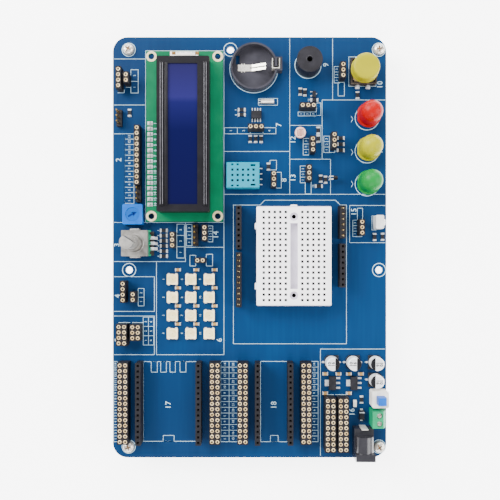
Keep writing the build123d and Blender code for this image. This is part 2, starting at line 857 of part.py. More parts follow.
with BuildPart() as humidity_case:
    with Locations(above(humidity_place, 0)):
        Box(humidity_width, humidity_depth, humidity_height, align=standing)
    chamfer(humidity_case.faces().sort_by(Axis.Z)[-1].edges(), 0.3)
    with Locations(above(humidity_place, 0)):
        Box(humidity_width - 2 * humidity_wall, humidity_depth - 2 * humidity_wall,
            humidity_cavity, align=standing, mode=Mode.SUBTRACT)
    with BuildSketch(Plane.XY.offset(top + humidity_height)):
        with Locations(*vent_places):
            Rectangle(humidity_vent, humidity_vent)
        with Locations(*slot_places):
            Rectangle(humidity_vent, 0.8 * humidity_vent)
        with Locations((humidity_x + 1.9 * humidity_vent_pitch, humidity_y + 1.85 * humidity_vent_pitch),
                       (humidity_x + 1.9 * humidity_vent_pitch, humidity_y - 1.85 * humidity_vent_pitch)):
            Rectangle(humidity_slot_length, 0.8 * humidity_vent)
    extrude(amount=-humidity_wall, mode=Mode.SUBTRACT)
humidity_case.part.label = "humidity_case"
export_step(humidity_case.part, "parts/humidity_case.step")

with BuildPart() as humidity_element:
    with Locations(above(humidity_place, 0)):
        Box(humidity_width - 2 * humidity_wall - 2 * humidity_gap,
            humidity_depth - 2 * humidity_wall - 2 * humidity_gap,
            humidity_board_thickness, align=standing)
        Box(humidity_width / 2, humidity_depth / 3, humidity_cavity / 2, align=standing)
humidity_element.part.label = "humidity_element"
export_step(humidity_element.part, "parts/humidity_element.step")

# Buzzer
with BuildPart() as buzzer_case:
    with BuildSketch(Plane.XY.offset(top)):
        with Locations(buzzer_place):
            RegularPolygon(buzzer_radius, large_sides)
    extrude(amount=buzzer_height)
    with BuildSketch(Plane.XY.offset(top + buzzer_height)):
        with Locations(buzzer_place):
            RegularPolygon(buzzer_hole_radius, fine_sides)
    extrude(amount=-buzzer_hole_depth, mode=Mode.SUBTRACT)
buzzer_case.part.label = "buzzer_case"
export_step(buzzer_case.part, "parts/buzzer_case.step")

# Light sensor, thermistor and infrared receiver
with BuildPart() as light_sensor:
    with BuildSketch(Plane.XY.offset(top + light_sensor_lift)):
        with Locations(light_sensor_place):
            RegularPolygon(light_sensor_radius, fine_sides)
    extrude(amount=light_sensor_thickness)
light_sensor.part.label = "light_sensor"
export_step(light_sensor.part, "parts/light_sensor.step")

with BuildPart() as thermistor_bead:
    with BuildSketch(Plane.YZ.offset(thermistor_place[0])):
        with Locations((thermistor_place[1], top + thermistor_lift)):
            RegularPolygon(thermistor_radius, plain_sides)
    extrude(amount=thermistor_length / 2, both=True)
thermistor_bead.part.label = "thermistor_bead"
export_step(thermistor_bead.part, "parts/thermistor_bead.step")

receiver_east = receiver_place[0] + receiver_depth / 2
receiver_middle = (receiver_bottom + receiver_top) / 2

with BuildPart() as infrared_receiver:
    with Locations(above(receiver_place, receiver_bottom)):
        Box(receiver_depth, receiver_width, receiver_top - receiver_bottom, align=standing)
    chamfer(infrared_receiver.edges().filter_by(Axis.Z), 0.4)
    with BuildSketch(Plane.YZ.offset(receiver_east)):
        with Locations((receiver_place[1], top + receiver_middle)):
            RegularPolygon(receiver_lens_radius, fine_sides)
    extrude(amount=receiver_lens_reach, taper=25)
infrared_receiver.part.label = "infrared_receiver"
export_step(infrared_receiver.part, "parts/infrared_receiver.step")

# Push button: base, cover plate, stem and cap
button_x, button_y = button_place
cover_top = button_base_height + button_cover_thickness
collar_bottom = button_pocket_floor + button_rest_gap
rivet_places = [
    (button_x + i * (button_width / 2 - button_rivet_inset),
     button_y + j * (button_width / 2 - button_rivet_inset))
    for i in (-1, 1)
    for j in (-1, 1)
]

with BuildPart() as button_base:
    with Locations(above(button_place, 0)):
        Box(button_width, button_width, button_base_height, align=standing)
    with BuildSketch(Plane.XY.offset(top + button_base_height)):
        with Locations(button_place):
            RegularPolygon(button_collar_radius + button_running_gap, fine_sides, major_radius=False)
    extrude(amount=button_pocket_floor - button_base_height, mode=Mode.SUBTRACT)
button_base.part.label = "button_base"
export_step(button_base.part, "parts/button_base.step")

with BuildPart() as button_cover:
    with BuildSketch(Plane.XY.offset(top + button_base_height)):
        with Locations(button_place):
            Rectangle(button_width, button_width)
            RegularPolygon(button_collar_radius + button_running_gap, fine_sides,
                           major_radius=False, mode=Mode.SUBTRACT)
    extrude(amount=button_cover_thickness)
    with BuildSketch(Plane.XY.offset(top + cover_top)):
        with Locations(*rivet_places):
            RegularPolygon(button_rivet_radius, 6)
    extrude(amount=button_rivet_height)
button_cover.part.label = "button_cover"
export_step(button_cover.part, "parts/button_cover.step")

with BuildPart() as button_stem:
    with BuildSketch(Plane.XY.offset(top + collar_bottom)):
        with Locations(button_place):
            RegularPolygon(button_collar_radius, fine_sides)
    extrude(amount=cover_top + button_rest_gap - collar_bottom)
    with Locations(above(button_place, collar_bottom)):
        Box(button_stem_width, button_stem_width, button_stem_top - collar_bottom, align=standing)
button_stem.part.label = "button_stem"
export_step(button_stem.part, "parts/button_stem.step")

cap_rim_top = cap_bottom + cap_rim_height

with BuildPart() as button_cap:
    for radius, low, high in (
        (cap_rim_radius, cap_bottom, cap_rim_top),
        (cap_body_radius, cap_rim_top, cap_top),
    ):
        with BuildSketch(Plane.XY.offset(top + low)):
            with Locations(button_place):
                RegularPolygon(radius, large_sides)
        extrude(amount=high - low)
    chamfer(button_cap.faces().sort_by(Axis.Z)[-1].edges(), cap_edge_bevel)
    with Locations(above(button_place, cap_bottom)):
        Box(button_stem_width, button_stem_width, button_stem_top - cap_bottom,
            align=standing, mode=Mode.SUBTRACT)
button_cap.part.label = "button_cap"
export_step(button_cap.part, "parts/button_cap.step")

# Traffic lamps
def lamp(place):
    """A ten millimetre lamp body: flange, straight wall and dome."""
    with BuildPart() as body:
        with BuildSketch(Plane.XY.offset(top + lamp_lift)):
            with Locations(place):
                RegularPolygon(lamp_flange_radius, lamp_sides)
        extrude(amount=lamp_flange_height)
        with BuildSketch(Plane.XY.offset(top + lamp_lift)):
            with Locations(place):
                RegularPolygon(lamp_radius, lamp_sides, major_radius=False)
        extrude(amount=lamp_straight_top - lamp_lift)
        for low, high in zip(lamp_dome_angles, lamp_dome_angles[1:]):
            level = lamp_straight_top + lamp_radius * sin(radians(low))
            with BuildSketch(Plane.XY.offset(top + level)):
                with Locations(place):
                    RegularPolygon(lamp_radius * cos(radians(low)), lamp_sides, major_radius=False)
            extrude(
                amount=lamp_radius * (sin(radians(high)) - sin(radians(low))),
                taper=(low + high) / 2,
            )
    return body


red_lamp = lamp(lamp_places[0])
red_lamp.part.label = "red_lamp"
export_step(red_lamp.part, "parts/red_lamp.step")

yellow_lamp = lamp(lamp_places[1])
yellow_lamp.part.label = "yellow_lamp"
export_step(yellow_lamp.part, "parts/yellow_lamp.step")

green_lamp = lamp(lamp_places[2])
green_lamp.part.label = "green_lamp"
export_step(green_lamp.part, "parts/green_lamp.step")

# Breadboard: block with its holes and channel, clips in slots below, adhesive pad
bread_x, bread_y = breadboard_place
bread_bottom = breadboard_pad_height
bread_top = bread_bottom + breadboard_height
row_places = [bread_y + (j - (breadboard_rows - 1) / 2) * pitch for j in range(breadboard_rows)]
breadboard_screw_places = [
    (bread_x, bread_y + side * breadboard_screw_spacing / 2) for side in (-1, 1)
]
column_places = [
    bread_x + side * (breadboard_bank_gap / 2 + i * pitch)
    for side in (-1, 1)
    for i in range(breadboard_columns)
]

with BuildPart() as breadboard_block:
    with Locations(above(breadboard_place, bread_bottom)):
        Box(breadboard_width, breadboard_length, breadboard_height, align=standing)
    with Locations(above((bread_x, bread_y + breadboard_length / 2), bread_bottom)):
        Box(breadboard_tab_width, breadboard_tab_reach, breadboard_tab_height,
            align=(Align.CENTER, Align.MIN, Align.MIN))
    with Locations(above((bread_x - breadboard_width / 2, bread_y), bread_bottom)):
        Box(breadboard_tab_reach, breadboard_tab_width, breadboard_tab_height,
            align=(Align.MAX, Align.CENTER, Align.MIN))
    with Locations(above(breadboard_place, bread_top)):
        Box(breadboard_channel_width, breadboard_channel_length, breadboard_channel_depth,
            align=hanging, mode=Mode.SUBTRACT)
    with Locations(*[above((x, y), bread_top) for x in column_places for y in row_places]):
        add(funnel(breadboard_hole, breadboard_hole_depth), mode=Mode.SUBTRACT)
    for radius, depth in (
        (breadboard_counterbore_radius, breadboard_counterbore_depth),
        (breadboard_screw_radius, breadboard_height),
    ):
        with BuildSketch(Plane.XY.offset(top + bread_top)):
            with Locations(*breadboard_screw_places):
                RegularPolygon(radius, plain_sides)
        extrude(amount=-depth, mode=Mode.SUBTRACT)
breadboard_block.part.label = "breadboard_block"
export_step(breadboard_block.part, "parts/breadboard_block.step")

with BuildPart() as breadboard_pad:
    with Locations(above(breadboard_place, 0)):
        Box(breadboard_width, breadboard_length, breadboard_pad_height, align=standing)
breadboard_pad.part.label = "breadboard_pad"
export_step(breadboard_pad.part, "parts/breadboard_pad.step")

# Sockets, strips and headers
def paired_rows(middle, side, shift, gap, north_count, south_count):
    """Two sockets in one column of the shield, on each side of a gap in the column."""
    x = middle[0] + side * shield_row_spacing / 2
    split = middle[1] + shift
    return [
        ((x, split + (gap + north_count * pitch) / 2), 1, north_count),
        ((x, split - (gap + south_count * pitch) / 2), 1, south_count),
    ]


shield_sockets = strips(
    paired_rows(shield_place, -1, shield_west_shift, shield_west_gap, 8, 10)
    + paired_rows(shield_place, 1, shield_east_shift, shield_east_gap, 6, 8),
    square_socket_height, square_socket_hole, square_socket_depth,
)
shield_sockets.part.label = "shield_sockets"
export_step(shield_sockets.part, "parts/shield_sockets.step")

controller_y = south + controller_reach
controller_sockets = strips(
    [
        ((spot(middle, 0)[0] + side * spacing / 2, controller_y), 1, controller_count)
        for middle, spacing in (
            (wide_controller_x, wide_controller_spacing),
            (narrow_controller_x, narrow_controller_spacing),
        )
        for side in (-1, 1)
    ],
    square_socket_height, square_socket_hole, square_socket_depth,
)
controller_sockets.part.label = "controller_sockets"
export_step(controller_sockets.part, "parts/controller_sockets.step")

controller_strips = strips(
    [((spot(x, 0)[0], controller_y), 2, controller_count) for x in controller_strips_x],
    round_strip_height, round_strip_hole, round_strip_depth,
)
controller_strips.part.label = "controller_strips"
export_step(controller_strips.part, "parts/controller_strips.step")

power_strips = strips(power_strip_groups, round_strip_height, round_strip_hole, round_strip_depth)
power_strips.part.label = "power_strips"
export_step(power_strips.part, "parts/power_strips.step")

module_strips = strips(module_strip_groups, round_strip_height, round_strip_hole, round_strip_depth)
module_strips.part.label = "module_strips"
export_step(module_strips.part, "parts/module_strips.step")

header_pin_places = [place for group in pin_header_groups for place in pin_places(group)]

with BuildPart() as pin_headers:
    for (x, y), columns, rows in pin_header_groups:
        with Locations((x, y, top)):
            Box(columns * pitch, rows * pitch, header_base_height, align=standing)
    with BuildSketch(Plane.XY.offset(top)):
        with Locations(*header_pin_places):
            Rectangle(header_pin_width, header_pin_width)
    extrude(amount=header_base_height, mode=Mode.SUBTRACT)
    with Locations((display_pins_x, display_pins_y, top)):
        Box(pitch, display_pin_count * pitch, header_base_height, align=standing)
pin_headers.part.label = "pin_headers"
export_step(pin_headers.part, "parts/pin_headers.step")

with BuildPart() as header_pins:
    with BuildSketch(Plane.XY.offset(top)):
        with Locations(*header_pin_places):
            Rectangle(header_pin_width, header_pin_width)
    extrude(amount=header_pin_height)
header_pins.part.label = "header_pins"
export_step(header_pins.part, "parts/header_pins.step")

# Colour pixels
pixel_places = [
    (pixel_first[0] + i * pixel_step_x, pixel_first[1] - j * pixel_step_y)
    for i in range(3)
    for j in range(4)
]

with BuildPart() as pixel_lamps:
    with BuildSketch(Plane.XY.offset(top)):
        with Locations(*pixel_places):
            Rectangle(pixel_width, pixel_length)
    extrude(amount=pixel_height)
pixel_lamps.part.label = "pixel_lamps"
export_step(pixel_lamps.part, "parts/pixel_lamps.step")

# Two-terminal chips
with BuildPart() as chip_resistors:
    with BuildSketch(Plane.XY.offset(top)):
        with Locations(*resistors_across):
            Rectangle(chip_length, chip_width)
        with Locations(*resistors_along):
            Rectangle(chip_width, chip_length)
    extrude(amount=resistor_height)
chip_resistors.part.label = "chip_resistors"
export_step(chip_resistors.part, "parts/chip_resistors.step")

with BuildPart() as chip_capacitors:
    with BuildSketch(Plane.XY.offset(top)):
        with Locations(*[
            (x + pixel_capacitor_shift[0], y + pixel_capacitor_shift[1]) for x, y in pixel_places
        ]):
            Rectangle(chip_length, chip_width)
        with Locations(*small_chips_across):
            Rectangle(small_chip_length, small_chip_width)
    extrude(amount=capacitor_height)
chip_capacitors.part.label = "chip_capacitors"
export_step(chip_capacitors.part, "parts/chip_capacitors.step")

with BuildPart() as status_lamp:
    with Locations(above(status_lamp_place, 0)):
        Box(chip_width, chip_length, capacitor_height, align=standing)
status_lamp.part.label = "status_lamp"
export_step(status_lamp.part, "parts/status_lamp.step")

# Can capacitors
with BuildPart() as capacitor_bases:
    with BuildSketch(Plane.XY.offset(top)):
        for (x, y), marked_east in zip(can_places, can_marks_east):
            side = 1 if marked_east else -1
            half = can_base_width / 2
            with BuildLine():
                Polyline(
                    (x + side * half, y - half),
                    (x + side * half, y + half),
                    (x - side * (half - can_base_corner), y + half),
                    (x - side * half, y + half - can_base_corner),
                    (x - side * half, y - half + can_base_corner),
                    (x - side * (half - can_base_corner), y - half),
                    close=True,
                )
            make_face()
    extrude(amount=can_base_height)
capacitor_bases.part.label = "capacitor_bases"
export_step(capacitor_bases.part, "parts/capacitor_bases.step")

with BuildPart() as capacitor_cans:
    with BuildSketch(Plane.XY.offset(top + can_base_height)):
        with Locations(*can_places):
            RegularPolygon(can_radius, can_sides)
    extrude(amount=can_top - can_base_height)
capacitor_cans.part.label = "capacitor_cans"
export_step(capacitor_cans.part, "parts/capacitor_cans.step")

# Regulators, diode and transistor, in black epoxy
with BuildPart() as power_chips:
    with BuildSketch(Plane.XY.offset(top)):
        with Locations(*regulator_places):
            Rectangle(regulator_width, regulator_length)
    extrude(amount=regulator_height, taper=6)
    with BuildSketch(Plane.XY.offset(top)):
        with Locations(diode_place):
            Rectangle(diode_width, diode_length)
    extrude(amount=diode_height, taper=6)
    with Locations(above(transistor_place, 0)):
        Box(transistor_width, transistor_length, transistor_height, align=standing)
power_chips.part.label = "power_chips"
export_step(power_chips.part, "parts/power_chips.step")

# Push-lock power switch
switch_x = east - switch_inset
switch_place = (switch_x, south + switch_reach)
plunger_stop = switch_height - switch_roof
plunger_bottom = plunger_stop - plunger_stop_gap - plunger_collar_height

with BuildPart() as switch_housing:
    with Locations(above(switch_place, 0)):
        Box(switch_width, switch_width, switch_height, align=standing)
    chamfer(switch_housing.edges().filter_by(Axis.Z), 0.6)
    with Locations(above(switch_place, switch_floor)):
        Box(plunger_width + 2 * plunger_collar + 2 * plunger_gap,
            plunger_width + 2 * plunger_collar + 2 * plunger_gap,
            plunger_stop - switch_floor, align=standing, mode=Mode.SUBTRACT)
        Box(plunger_width + 2 * plunger_gap, plunger_width + 2 * plunger_gap,
            switch_height - switch_floor, align=standing, mode=Mode.SUBTRACT)
switch_housing.part.label = "switch_housing"
export_step(switch_housing.part, "parts/switch_housing.step")

with BuildPart() as switch_plunger:
    with Locations(above(switch_place, plunger_bottom)):
        Box(plunger_width, plunger_width, plunger_top - plunger_bottom, align=standing)
    chamfer(switch_plunger.faces().sort_by(Axis.Z)[-1].edges(), 0.25)
    with Locations(above(switch_place, plunger_bottom)):
        Box(plunger_width + 2 * plunger_collar, plunger_width + 2 * plunger_collar,
            plunger_collar_height, align=standing)
switch_plunger.part.label = "switch_plunger"
export_step(switch_plunger.part, "parts/switch_plunger.step")

# Screw terminal: housing, two captive screws and the cages that they raise
terminal_x = east - terminal_inset
terminal_y = south + terminal_reach
terminal_screw_places = [
    (terminal_x, terminal_y + side * terminal_pitch / 2) for side in (1, -1)
]
chamber_width = cage_width + 2 * chamber_gap
chamber_depth = cage_depth + 2 * chamber_gap
chamber_top = chamber_floor + cage_height + cage_travel + 2 * chamber_gap
cage_bottom = chamber_floor + chamber_gap
tongue_bottom = cage_bottom + cage_wall + cage_travel + tongue_gap
terminal_head_bottom = chamber_top + ledge_thickness + terminal_running_gap
terminal_head_top = terminal_head_bottom + terminal_head_length
terminal_west = terminal_x - terminal_depth / 2
terminal_east = terminal_x + terminal_depth / 2

with BuildPart() as terminal_housing:
    with BuildSketch(Plane.XZ.offset(-terminal_y)):
        with BuildLine():
            Polyline(
                (terminal_west, top),
                (terminal_east, top),
                (terminal_east, top + terminal_height - terminal_slope_drop),
                (terminal_east - terminal_slope, top + terminal_height),
                (terminal_west, top + terminal_height),
                close=True,
            )
        make_face()
    extrude(amount=terminal_width / 2, both=True)
    with Locations(*[above(place, chamber_floor) for place in terminal_screw_places]):
        Box(chamber_depth, chamber_width, chamber_top - chamber_floor,
            align=standing, mode=Mode.SUBTRACT)
    with BuildSketch(Plane.XY.offset(top + chamber_top + ledge_thickness)):
        with Locations(*terminal_screw_places):
            RegularPolygon(terminal_well_radius, fine_sides, major_radius=False)
    extrude(amount=terminal_height - chamber_top - ledge_thickness, mode=Mode.SUBTRACT)
    with BuildSketch(Plane.XY.offset(top + chamber_top + ledge_thickness)):
        with Locations(*terminal_screw_places):
            RegularPolygon(terminal_shank_radius + terminal_running_gap, plain_sides,
                           major_radius=False)
    extrude(amount=-ledge_thickness, mode=Mode.SUBTRACT)
    with Locations(*[above((terminal_east, y), tongue_bottom - entry_width)
                     for x, y in terminal_screw_places]):
        Box(terminal_depth, entry_width, entry_width, align=standing, mode=Mode.SUBTRACT)
terminal_housing.part.label = "terminal_housing"
export_step(terminal_housing.part, "parts/terminal_housing.step")


def terminal_screw(place):
    """A slotted captive screw whose shank runs in the cage."""
    with BuildPart() as body:
        with Locations(above(place, terminal_head_bottom)):
            Cylinder(terminal_head_radius, terminal_head_top - terminal_head_bottom, align=standing)
        with BuildSketch(Plane.XY.offset(top + terminal_head_bottom)):
            with Locations(place):
                RegularPolygon(terminal_shank_radius, plain_sides)
        extrude(amount=-terminal_shank_length)
        with Locations(above(place, terminal_head_top)):
            Box(terminal_slot_width, 3 * terminal_head_radius, terminal_slot_depth,
                align=hanging, mode=Mode.SUBTRACT)
    return body


def terminal_cage(place):
    """A rising box that pulls the wire up against the fixed tongue."""
    with BuildPart() as body:
        with Locations(above(place, cage_bottom)):
            Box(cage_depth, cage_width, cage_height, align=standing)
        with Locations(above(place, cage_bottom + cage_wall)):
            Box(cage_depth, cage_width - 2 * cage_wall, cage_height - 2 * cage_wall,
                align=standing, mode=Mode.SUBTRACT)
        with BuildSketch(Plane.XY.offset(top + cage_bottom + cage_height)):
            with Locations(place):
                RegularPolygon(terminal_shank_radius + terminal_running_gap, plain_sides,
                               major_radius=False)
        extrude(amount=-cage_wall, mode=Mode.SUBTRACT)
    return body


terminal_screw_north = terminal_screw(terminal_screw_places[0])
terminal_screw_north.part.label = "terminal_screw_north"
export_step(terminal_screw_north.part, "parts/terminal_screw_north.step")

terminal_screw_south = terminal_screw(terminal_screw_places[1])
terminal_screw_south.part.label = "terminal_screw_south"
export_step(terminal_screw_south.part, "parts/terminal_screw_south.step")

terminal_cage_north = terminal_cage(terminal_screw_places[0])
terminal_cage_north.part.label = "terminal_cage_north"
export_step(terminal_cage_north.part, "parts/terminal_cage_north.step")

terminal_cage_south = terminal_cage(terminal_screw_places[1])
terminal_cage_south.part.label = "terminal_cage_south"
export_step(terminal_cage_south.part, "parts/terminal_cage_south.step")

# Barrel jack
jack_x = east - jack_inset_east
jack_south = south + jack_inset_south
jack_axis = (jack_x, top + jack_axis_height)
jack_front_north = jack_south + jack_front_length
jack_barrel_north = jack_front_north + jack_barrel_length
jack_north = jack_south + jack_length

with BuildPart() as jack_housing:
    with Locations((jack_x, jack_south, top)):
        Box(jack_width, jack_front_length, jack_height, align=(Align.CENTER, Align.MIN, Align.MIN))
        Box(jack_width, jack_length, jack_rear_height, align=(Align.CENTER, Align.MIN, Align.MIN))
    with BuildSketch(Plane.XZ.offset(-jack_barrel_north)):
        with Locations(jack_axis):
            Circle(jack_barrel_radius)
    extrude(amount=jack_barrel_length)
    with BuildSketch(Plane.XZ.offset(-jack_south)):
        with Locations(jack_axis):
            Circle(jack_bore_radius)
    extrude(amount=-jack_bore_depth, mode=Mode.SUBTRACT)
jack_housing.part.label = "jack_housing"
export_step(jack_housing.part, "parts/jack_housing.step")

with BuildPart() as jack_contacts:
    with BuildSketch(Plane.XZ.offset(-jack_south - jack_bore_depth)):
        with Locations(jack_axis):
            RegularPolygon(jack_pin_radius, plain_sides)
    extrude(amount=jack_pin_length)
    with Locations((jack_x, jack_north, top)):
        Box(jack_lug_width, jack_lug_thickness, jack_lug_top,
            align=(Align.CENTER, Align.MIN, Align.MIN))
jack_contacts.part.label = "jack_contacts"
export_step(jack_contacts.part, "parts/jack_contacts.step")

# Leads and legs of the soldered parts
lamp_lead_places = [
    (x, y + side * lamp_lead_spacing / 2) for x, y in lamp_places for side in (-1, 1)
]
thermistor_west = thermistor_place[0] - thermistor_length / 2

with BuildPart() as component_leads:
    with Locations(*[above(place, 0) for place in lamp_lead_places]):
        Box(wire_width, wire_width, lamp_lift, align=standing)
    with Locations(*[
        above((light_sensor_place[0], light_sensor_place[1] + side * light_sensor_lead_spacing / 2), 0)
        for side in (-1, 1)
    ]):
        Box(wire_width, wire_width, light_sensor_lift, align=standing)
    for side in (-1, 1):
        with BuildSketch(
            Plane.XZ.offset(-thermistor_place[1] - side * thermistor_lead_spacing / 2)
        ):
            with BuildLine():
                Polyline(
                    (thermistor_west, top + thermistor_lift + wire_width / 2),
                    (thermistor_west - thermistor_lead_reach, top + thermistor_lift + wire_width / 2),
                    (thermistor_west - thermistor_lead_reach, top),
                    (thermistor_west - thermistor_lead_reach + wire_width, top),
                    (thermistor_west - thermistor_lead_reach + wire_width,
                     top + thermistor_lift - wire_width / 2),
                    (thermistor_west, top + thermistor_lift - wire_width / 2),
                    close=True,
                )
            make_face()
        extrude(amount=wire_width / 2, both=True)
    with Locations(*[
        above((receiver_place[0], receiver_place[1] + step * pitch), 0) for step in (-1, 0, 1)
    ]):
        Box(wire_width, wire_width, receiver_bottom, align=standing)
    with Locations(*[
        above((clock_chip_place[0] + (i - 1.5) * clock_leg_pitch,
               clock_chip_place[1] + side * (clock_chip_depth + clock_leg_span) / 4), 0)
        for i in range(4)
        for side in (-1, 1)
    ]):
        Box(clock_leg_width, (clock_leg_span - clock_chip_depth) / 2, lead_thickness, align=standing)
    for x, y in regulator_places:
        with Locations(above((x - (regulator_width + regulator_reach) / 4, y), 0)):
            Box((regulator_reach - regulator_width) / 2, regulator_tab_width, lead_thickness,
                align=standing)
        with Locations(*[
            above((x + (regulator_width + regulator_reach) / 4, y + step * regulator_leg_pitch), 0)
            for step in (-1, 0, 1)
        ]):
            Box((regulator_reach - regulator_width) / 2, regulator_leg_width, lead_thickness,
                align=standing)
    with Locations(*[
        above((diode_place[0], diode_place[1] + side * (diode_length + diode_reach) / 4), 0)
        for side in (-1, 1)
    ]):
        Box(diode_width / 2, (diode_reach - diode_length) / 2, lead_thickness, align=standing)
    with Locations(*[
        above((button_x + i * button_terminal_spacing / 2,
               button_y + j * (button_width + button_terminal_reach) / 2), 0)
        for i in (-1, 1)
        for j in (-1, 1)
    ]):
        Box(button_terminal_width, button_terminal_reach, button_base_height / 2, align=standing)
    with Locations(*[
        above((humidity_x + humidity_width / 2, humidity_y + (step - 1.5) * pitch), 0)
        for step in range(4)
    ]):
        Box(1.4, wire_width, lead_thickness, align=(Align.MIN, Align.CENTER, Align.MIN))
    with Locations(*[
        above((crystal_place[0] - crystal_length / 2, crystal_place[1] + side * 0.55), 0)
        for side in (-1, 1)
    ]):
        Box(1.2, 0.35, crystal_radius, align=(Align.MAX, Align.CENTER, Align.MIN))
    with Locations(*[above(place, tongue_bottom) for place in terminal_screw_places]):
        Box(chamber_depth, tongue_width, tongue_thickness, align=standing)
component_leads.part.label = "component_leads"
export_step(component_leads.part, "parts/component_leads.step")
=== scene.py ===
from math import cos, pi, radians, sin

import bpy
from bpy.props import FloatProperty, FloatVectorProperty, PointerProperty
from mathutils import Matrix, Vector


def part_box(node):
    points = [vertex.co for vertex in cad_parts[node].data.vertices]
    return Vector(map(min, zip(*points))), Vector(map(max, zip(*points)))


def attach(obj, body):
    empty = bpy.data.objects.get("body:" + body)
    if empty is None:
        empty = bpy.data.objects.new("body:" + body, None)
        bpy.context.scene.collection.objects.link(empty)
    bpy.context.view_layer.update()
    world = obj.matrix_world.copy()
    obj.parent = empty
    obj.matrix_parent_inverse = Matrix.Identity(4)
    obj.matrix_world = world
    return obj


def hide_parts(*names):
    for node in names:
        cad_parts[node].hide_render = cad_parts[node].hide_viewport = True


bl_info = {
    "name": "Teaching board dressing",
    "version": (1, 0, 0),
    "blender": (4, 5, 0),
    "location": "View3D > Sidebar > Board",
    "description": "Dresses the packed teaching board with its fine pieces and finishes",
    "category": "Object",
}

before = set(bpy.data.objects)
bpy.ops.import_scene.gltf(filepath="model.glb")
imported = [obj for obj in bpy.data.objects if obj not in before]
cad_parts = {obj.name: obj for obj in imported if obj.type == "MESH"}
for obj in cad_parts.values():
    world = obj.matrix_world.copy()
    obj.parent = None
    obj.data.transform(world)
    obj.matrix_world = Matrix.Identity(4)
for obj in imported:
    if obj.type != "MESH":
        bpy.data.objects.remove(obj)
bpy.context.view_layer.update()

# Heights in millimetres; places are (x, y) from the board's centre
BOARD_TOP = 11.6
BOARD_UNDER = 10.0
SOCKET_HEIGHT = 8.5
STRIP_HEIGHT = 7.0
PITCH = 2.54


# Colours, sizes and places

def linear(code):
    """An sRGB hex colour, or a colour setting, as the linear colour that a shader takes"""
    if not isinstance(code, str):
        return tuple(code) + (1.0,)
    parts = [int(code[i:i + 2], 16) / 255 for i in (1, 3, 5)]
    return tuple(v / 12.92 if v <= 0.04045 else ((v + 0.055) / 1.055) ** 2.4 for v in parts) + (1.0,)


def mm(value):
    """Millimetres as Blender's metres"""
    return value / 1000


def at(place=(0.0, 0.0), height=0.0):
    """A matrix that carries a shape to a place on the board's top face"""
    return Matrix.Translation((mm(place[0]), mm(place[1]), mm(BOARD_TOP + height)))


def turned_at(place, height, degrees):
    """The same, with the shape turned about its own upright axis"""
    return at(place, height) @ Matrix.Rotation(radians(degrees), 4, "Z")


def pins(x, y, columns, rows):
    """Places of a socket group's contacts, round its centre"""
    return [
        (x + (i - (columns - 1) / 2) * PITCH, y + (j - (rows - 1) / 2) * PITCH)
        for i in range(columns) for j in range(rows)
    ]


def groups(rows):
    """All contact places of several groups"""
    return [place for row in rows for place in pins(*row)]


def top_of(node):
    """Height of a CAD node's top above the board's top face"""
    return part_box(node)[1][2] * 1000 - BOARD_TOP


def middle_of(node):
    """A CAD node's middle, seen from above"""
    low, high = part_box(node)
    return (low[0] + high[0]) * 500, (low[1] + high[1]) * 500


SHIELD_SOCKETS = [(-5.05, 9.15, 1, 8), (-5.05, -15.23, 1, 10), (43.21, 11.69, 1, 6), (43.21, -8.63, 1, 8)]
CONTROLLER_SOCKETS = [(x, -72.9, 1, 15) for x in (-51.7, -23.76, 3.75, 18.99)]
CONTROLLER_STRIPS = [(x, -72.9, 2, 15) for x in (-59.1, -16.2, -3.2, 26.4)]
POWER_STRIPS = [(37.7, -83.0, 2, 10), (43.7, -83.0, 2, 10)]
MODULE_STRIPS = [
    (-52.5, 42.9, 1, 11), (-61.1, 79.0, 1, 4), (-57.55, 79.0, 1, 2), (-36.0, 3.35, 1, 3),
    (-21.0, 6.6, 1, 3), (-23.05, -6.2, 2, 1), (-59.0, -20.9, 1, 4), (-54.3, -23.3, 1, 2),
    (-59.6, -41.0, 2, 4), (-53.25, -39.9, 2, 3), (3.0, 56.1, 3, 1), (11.3, 31.7, 1, 3),
    (27.3, 66.0, 3, 1), (43.6, 82.5, 1, 3), (29.5, 47.9, 1, 3), (39.5, 49.85, 1, 3),
    (27.75, 34.6, 1, 3), (52.4, 9.2, 1, 3),
]
PIN_HEADERS = [(-61.6, 61.0, 1, 3), (-25.6, 5.7, 1, 4), (-52.5, 25.12, 1, 3)]
CORNER_SCREWS = [(x, y) for x in (-57.5, 61.5) for y in (-94.8, 94.0)]
SPARE_HOLES = [(-9.1, 94.0), (-57.3, -10.8), (61.6, -10.8)]
CHIPS_ACROSS = [
    (-40.75, 8.0), (-40.75, 5.55), (-40.75, 3.1), (-40.75, 0.65), (-40.75, -1.8), (-40.75, -4.2),
    (-3.75, 65.35), (-3.75, 63.05), (43.3, 51.9), (43.3, 49.0), (43.3, 46.1), (30.8, 70.0),
    (32.9, 29.1),
]
CHIPS_ALONG = [
    (0.3, 51.5), (2.9, 51.5), (5.5, 51.5), (26.3, 73.6), (24.1, 74.0), (51.3, 72.3), (32.6, 55.5),
    (32.6, 51.6), (36.1, 32.1), (33.8, 32.6), (9.0, 38.3), (59.4, 4.9), (63.2, 5.0), (53.2, -72.4),
    (-57.0, 63.9),
]
DISPLAY_PINS = [(-46.9, 39.0 + (k - 7.5) * PITCH) for k in range(16)]
SMALL_CHIPS = [(35.9, -60.1), (42.2, -60.1), (47.2, -60.1), (52.9, -60.1), (35.9, -69.3), (47.2, -69.3)]
PIXELS = [(-36.6 + 8.73 * i, -15.2 - 8.58 * j) for i in range(3) for j in range(4)]
CANS = [(38.9, -54.6), (49.0, -54.6), (59.6, -54.6), (59.6, -62.9)]
BREADBOARD = (20.5, -4.25)
CELL = (2.0, 84.9)
BUTTON = (53.65, 82.8)
BUZZER = (27.8, 86.6)
QUARTERS = [(-1, -1), (-1, 1), (1, -1), (1, 1)]


# Hand tools: each acts on one object alone

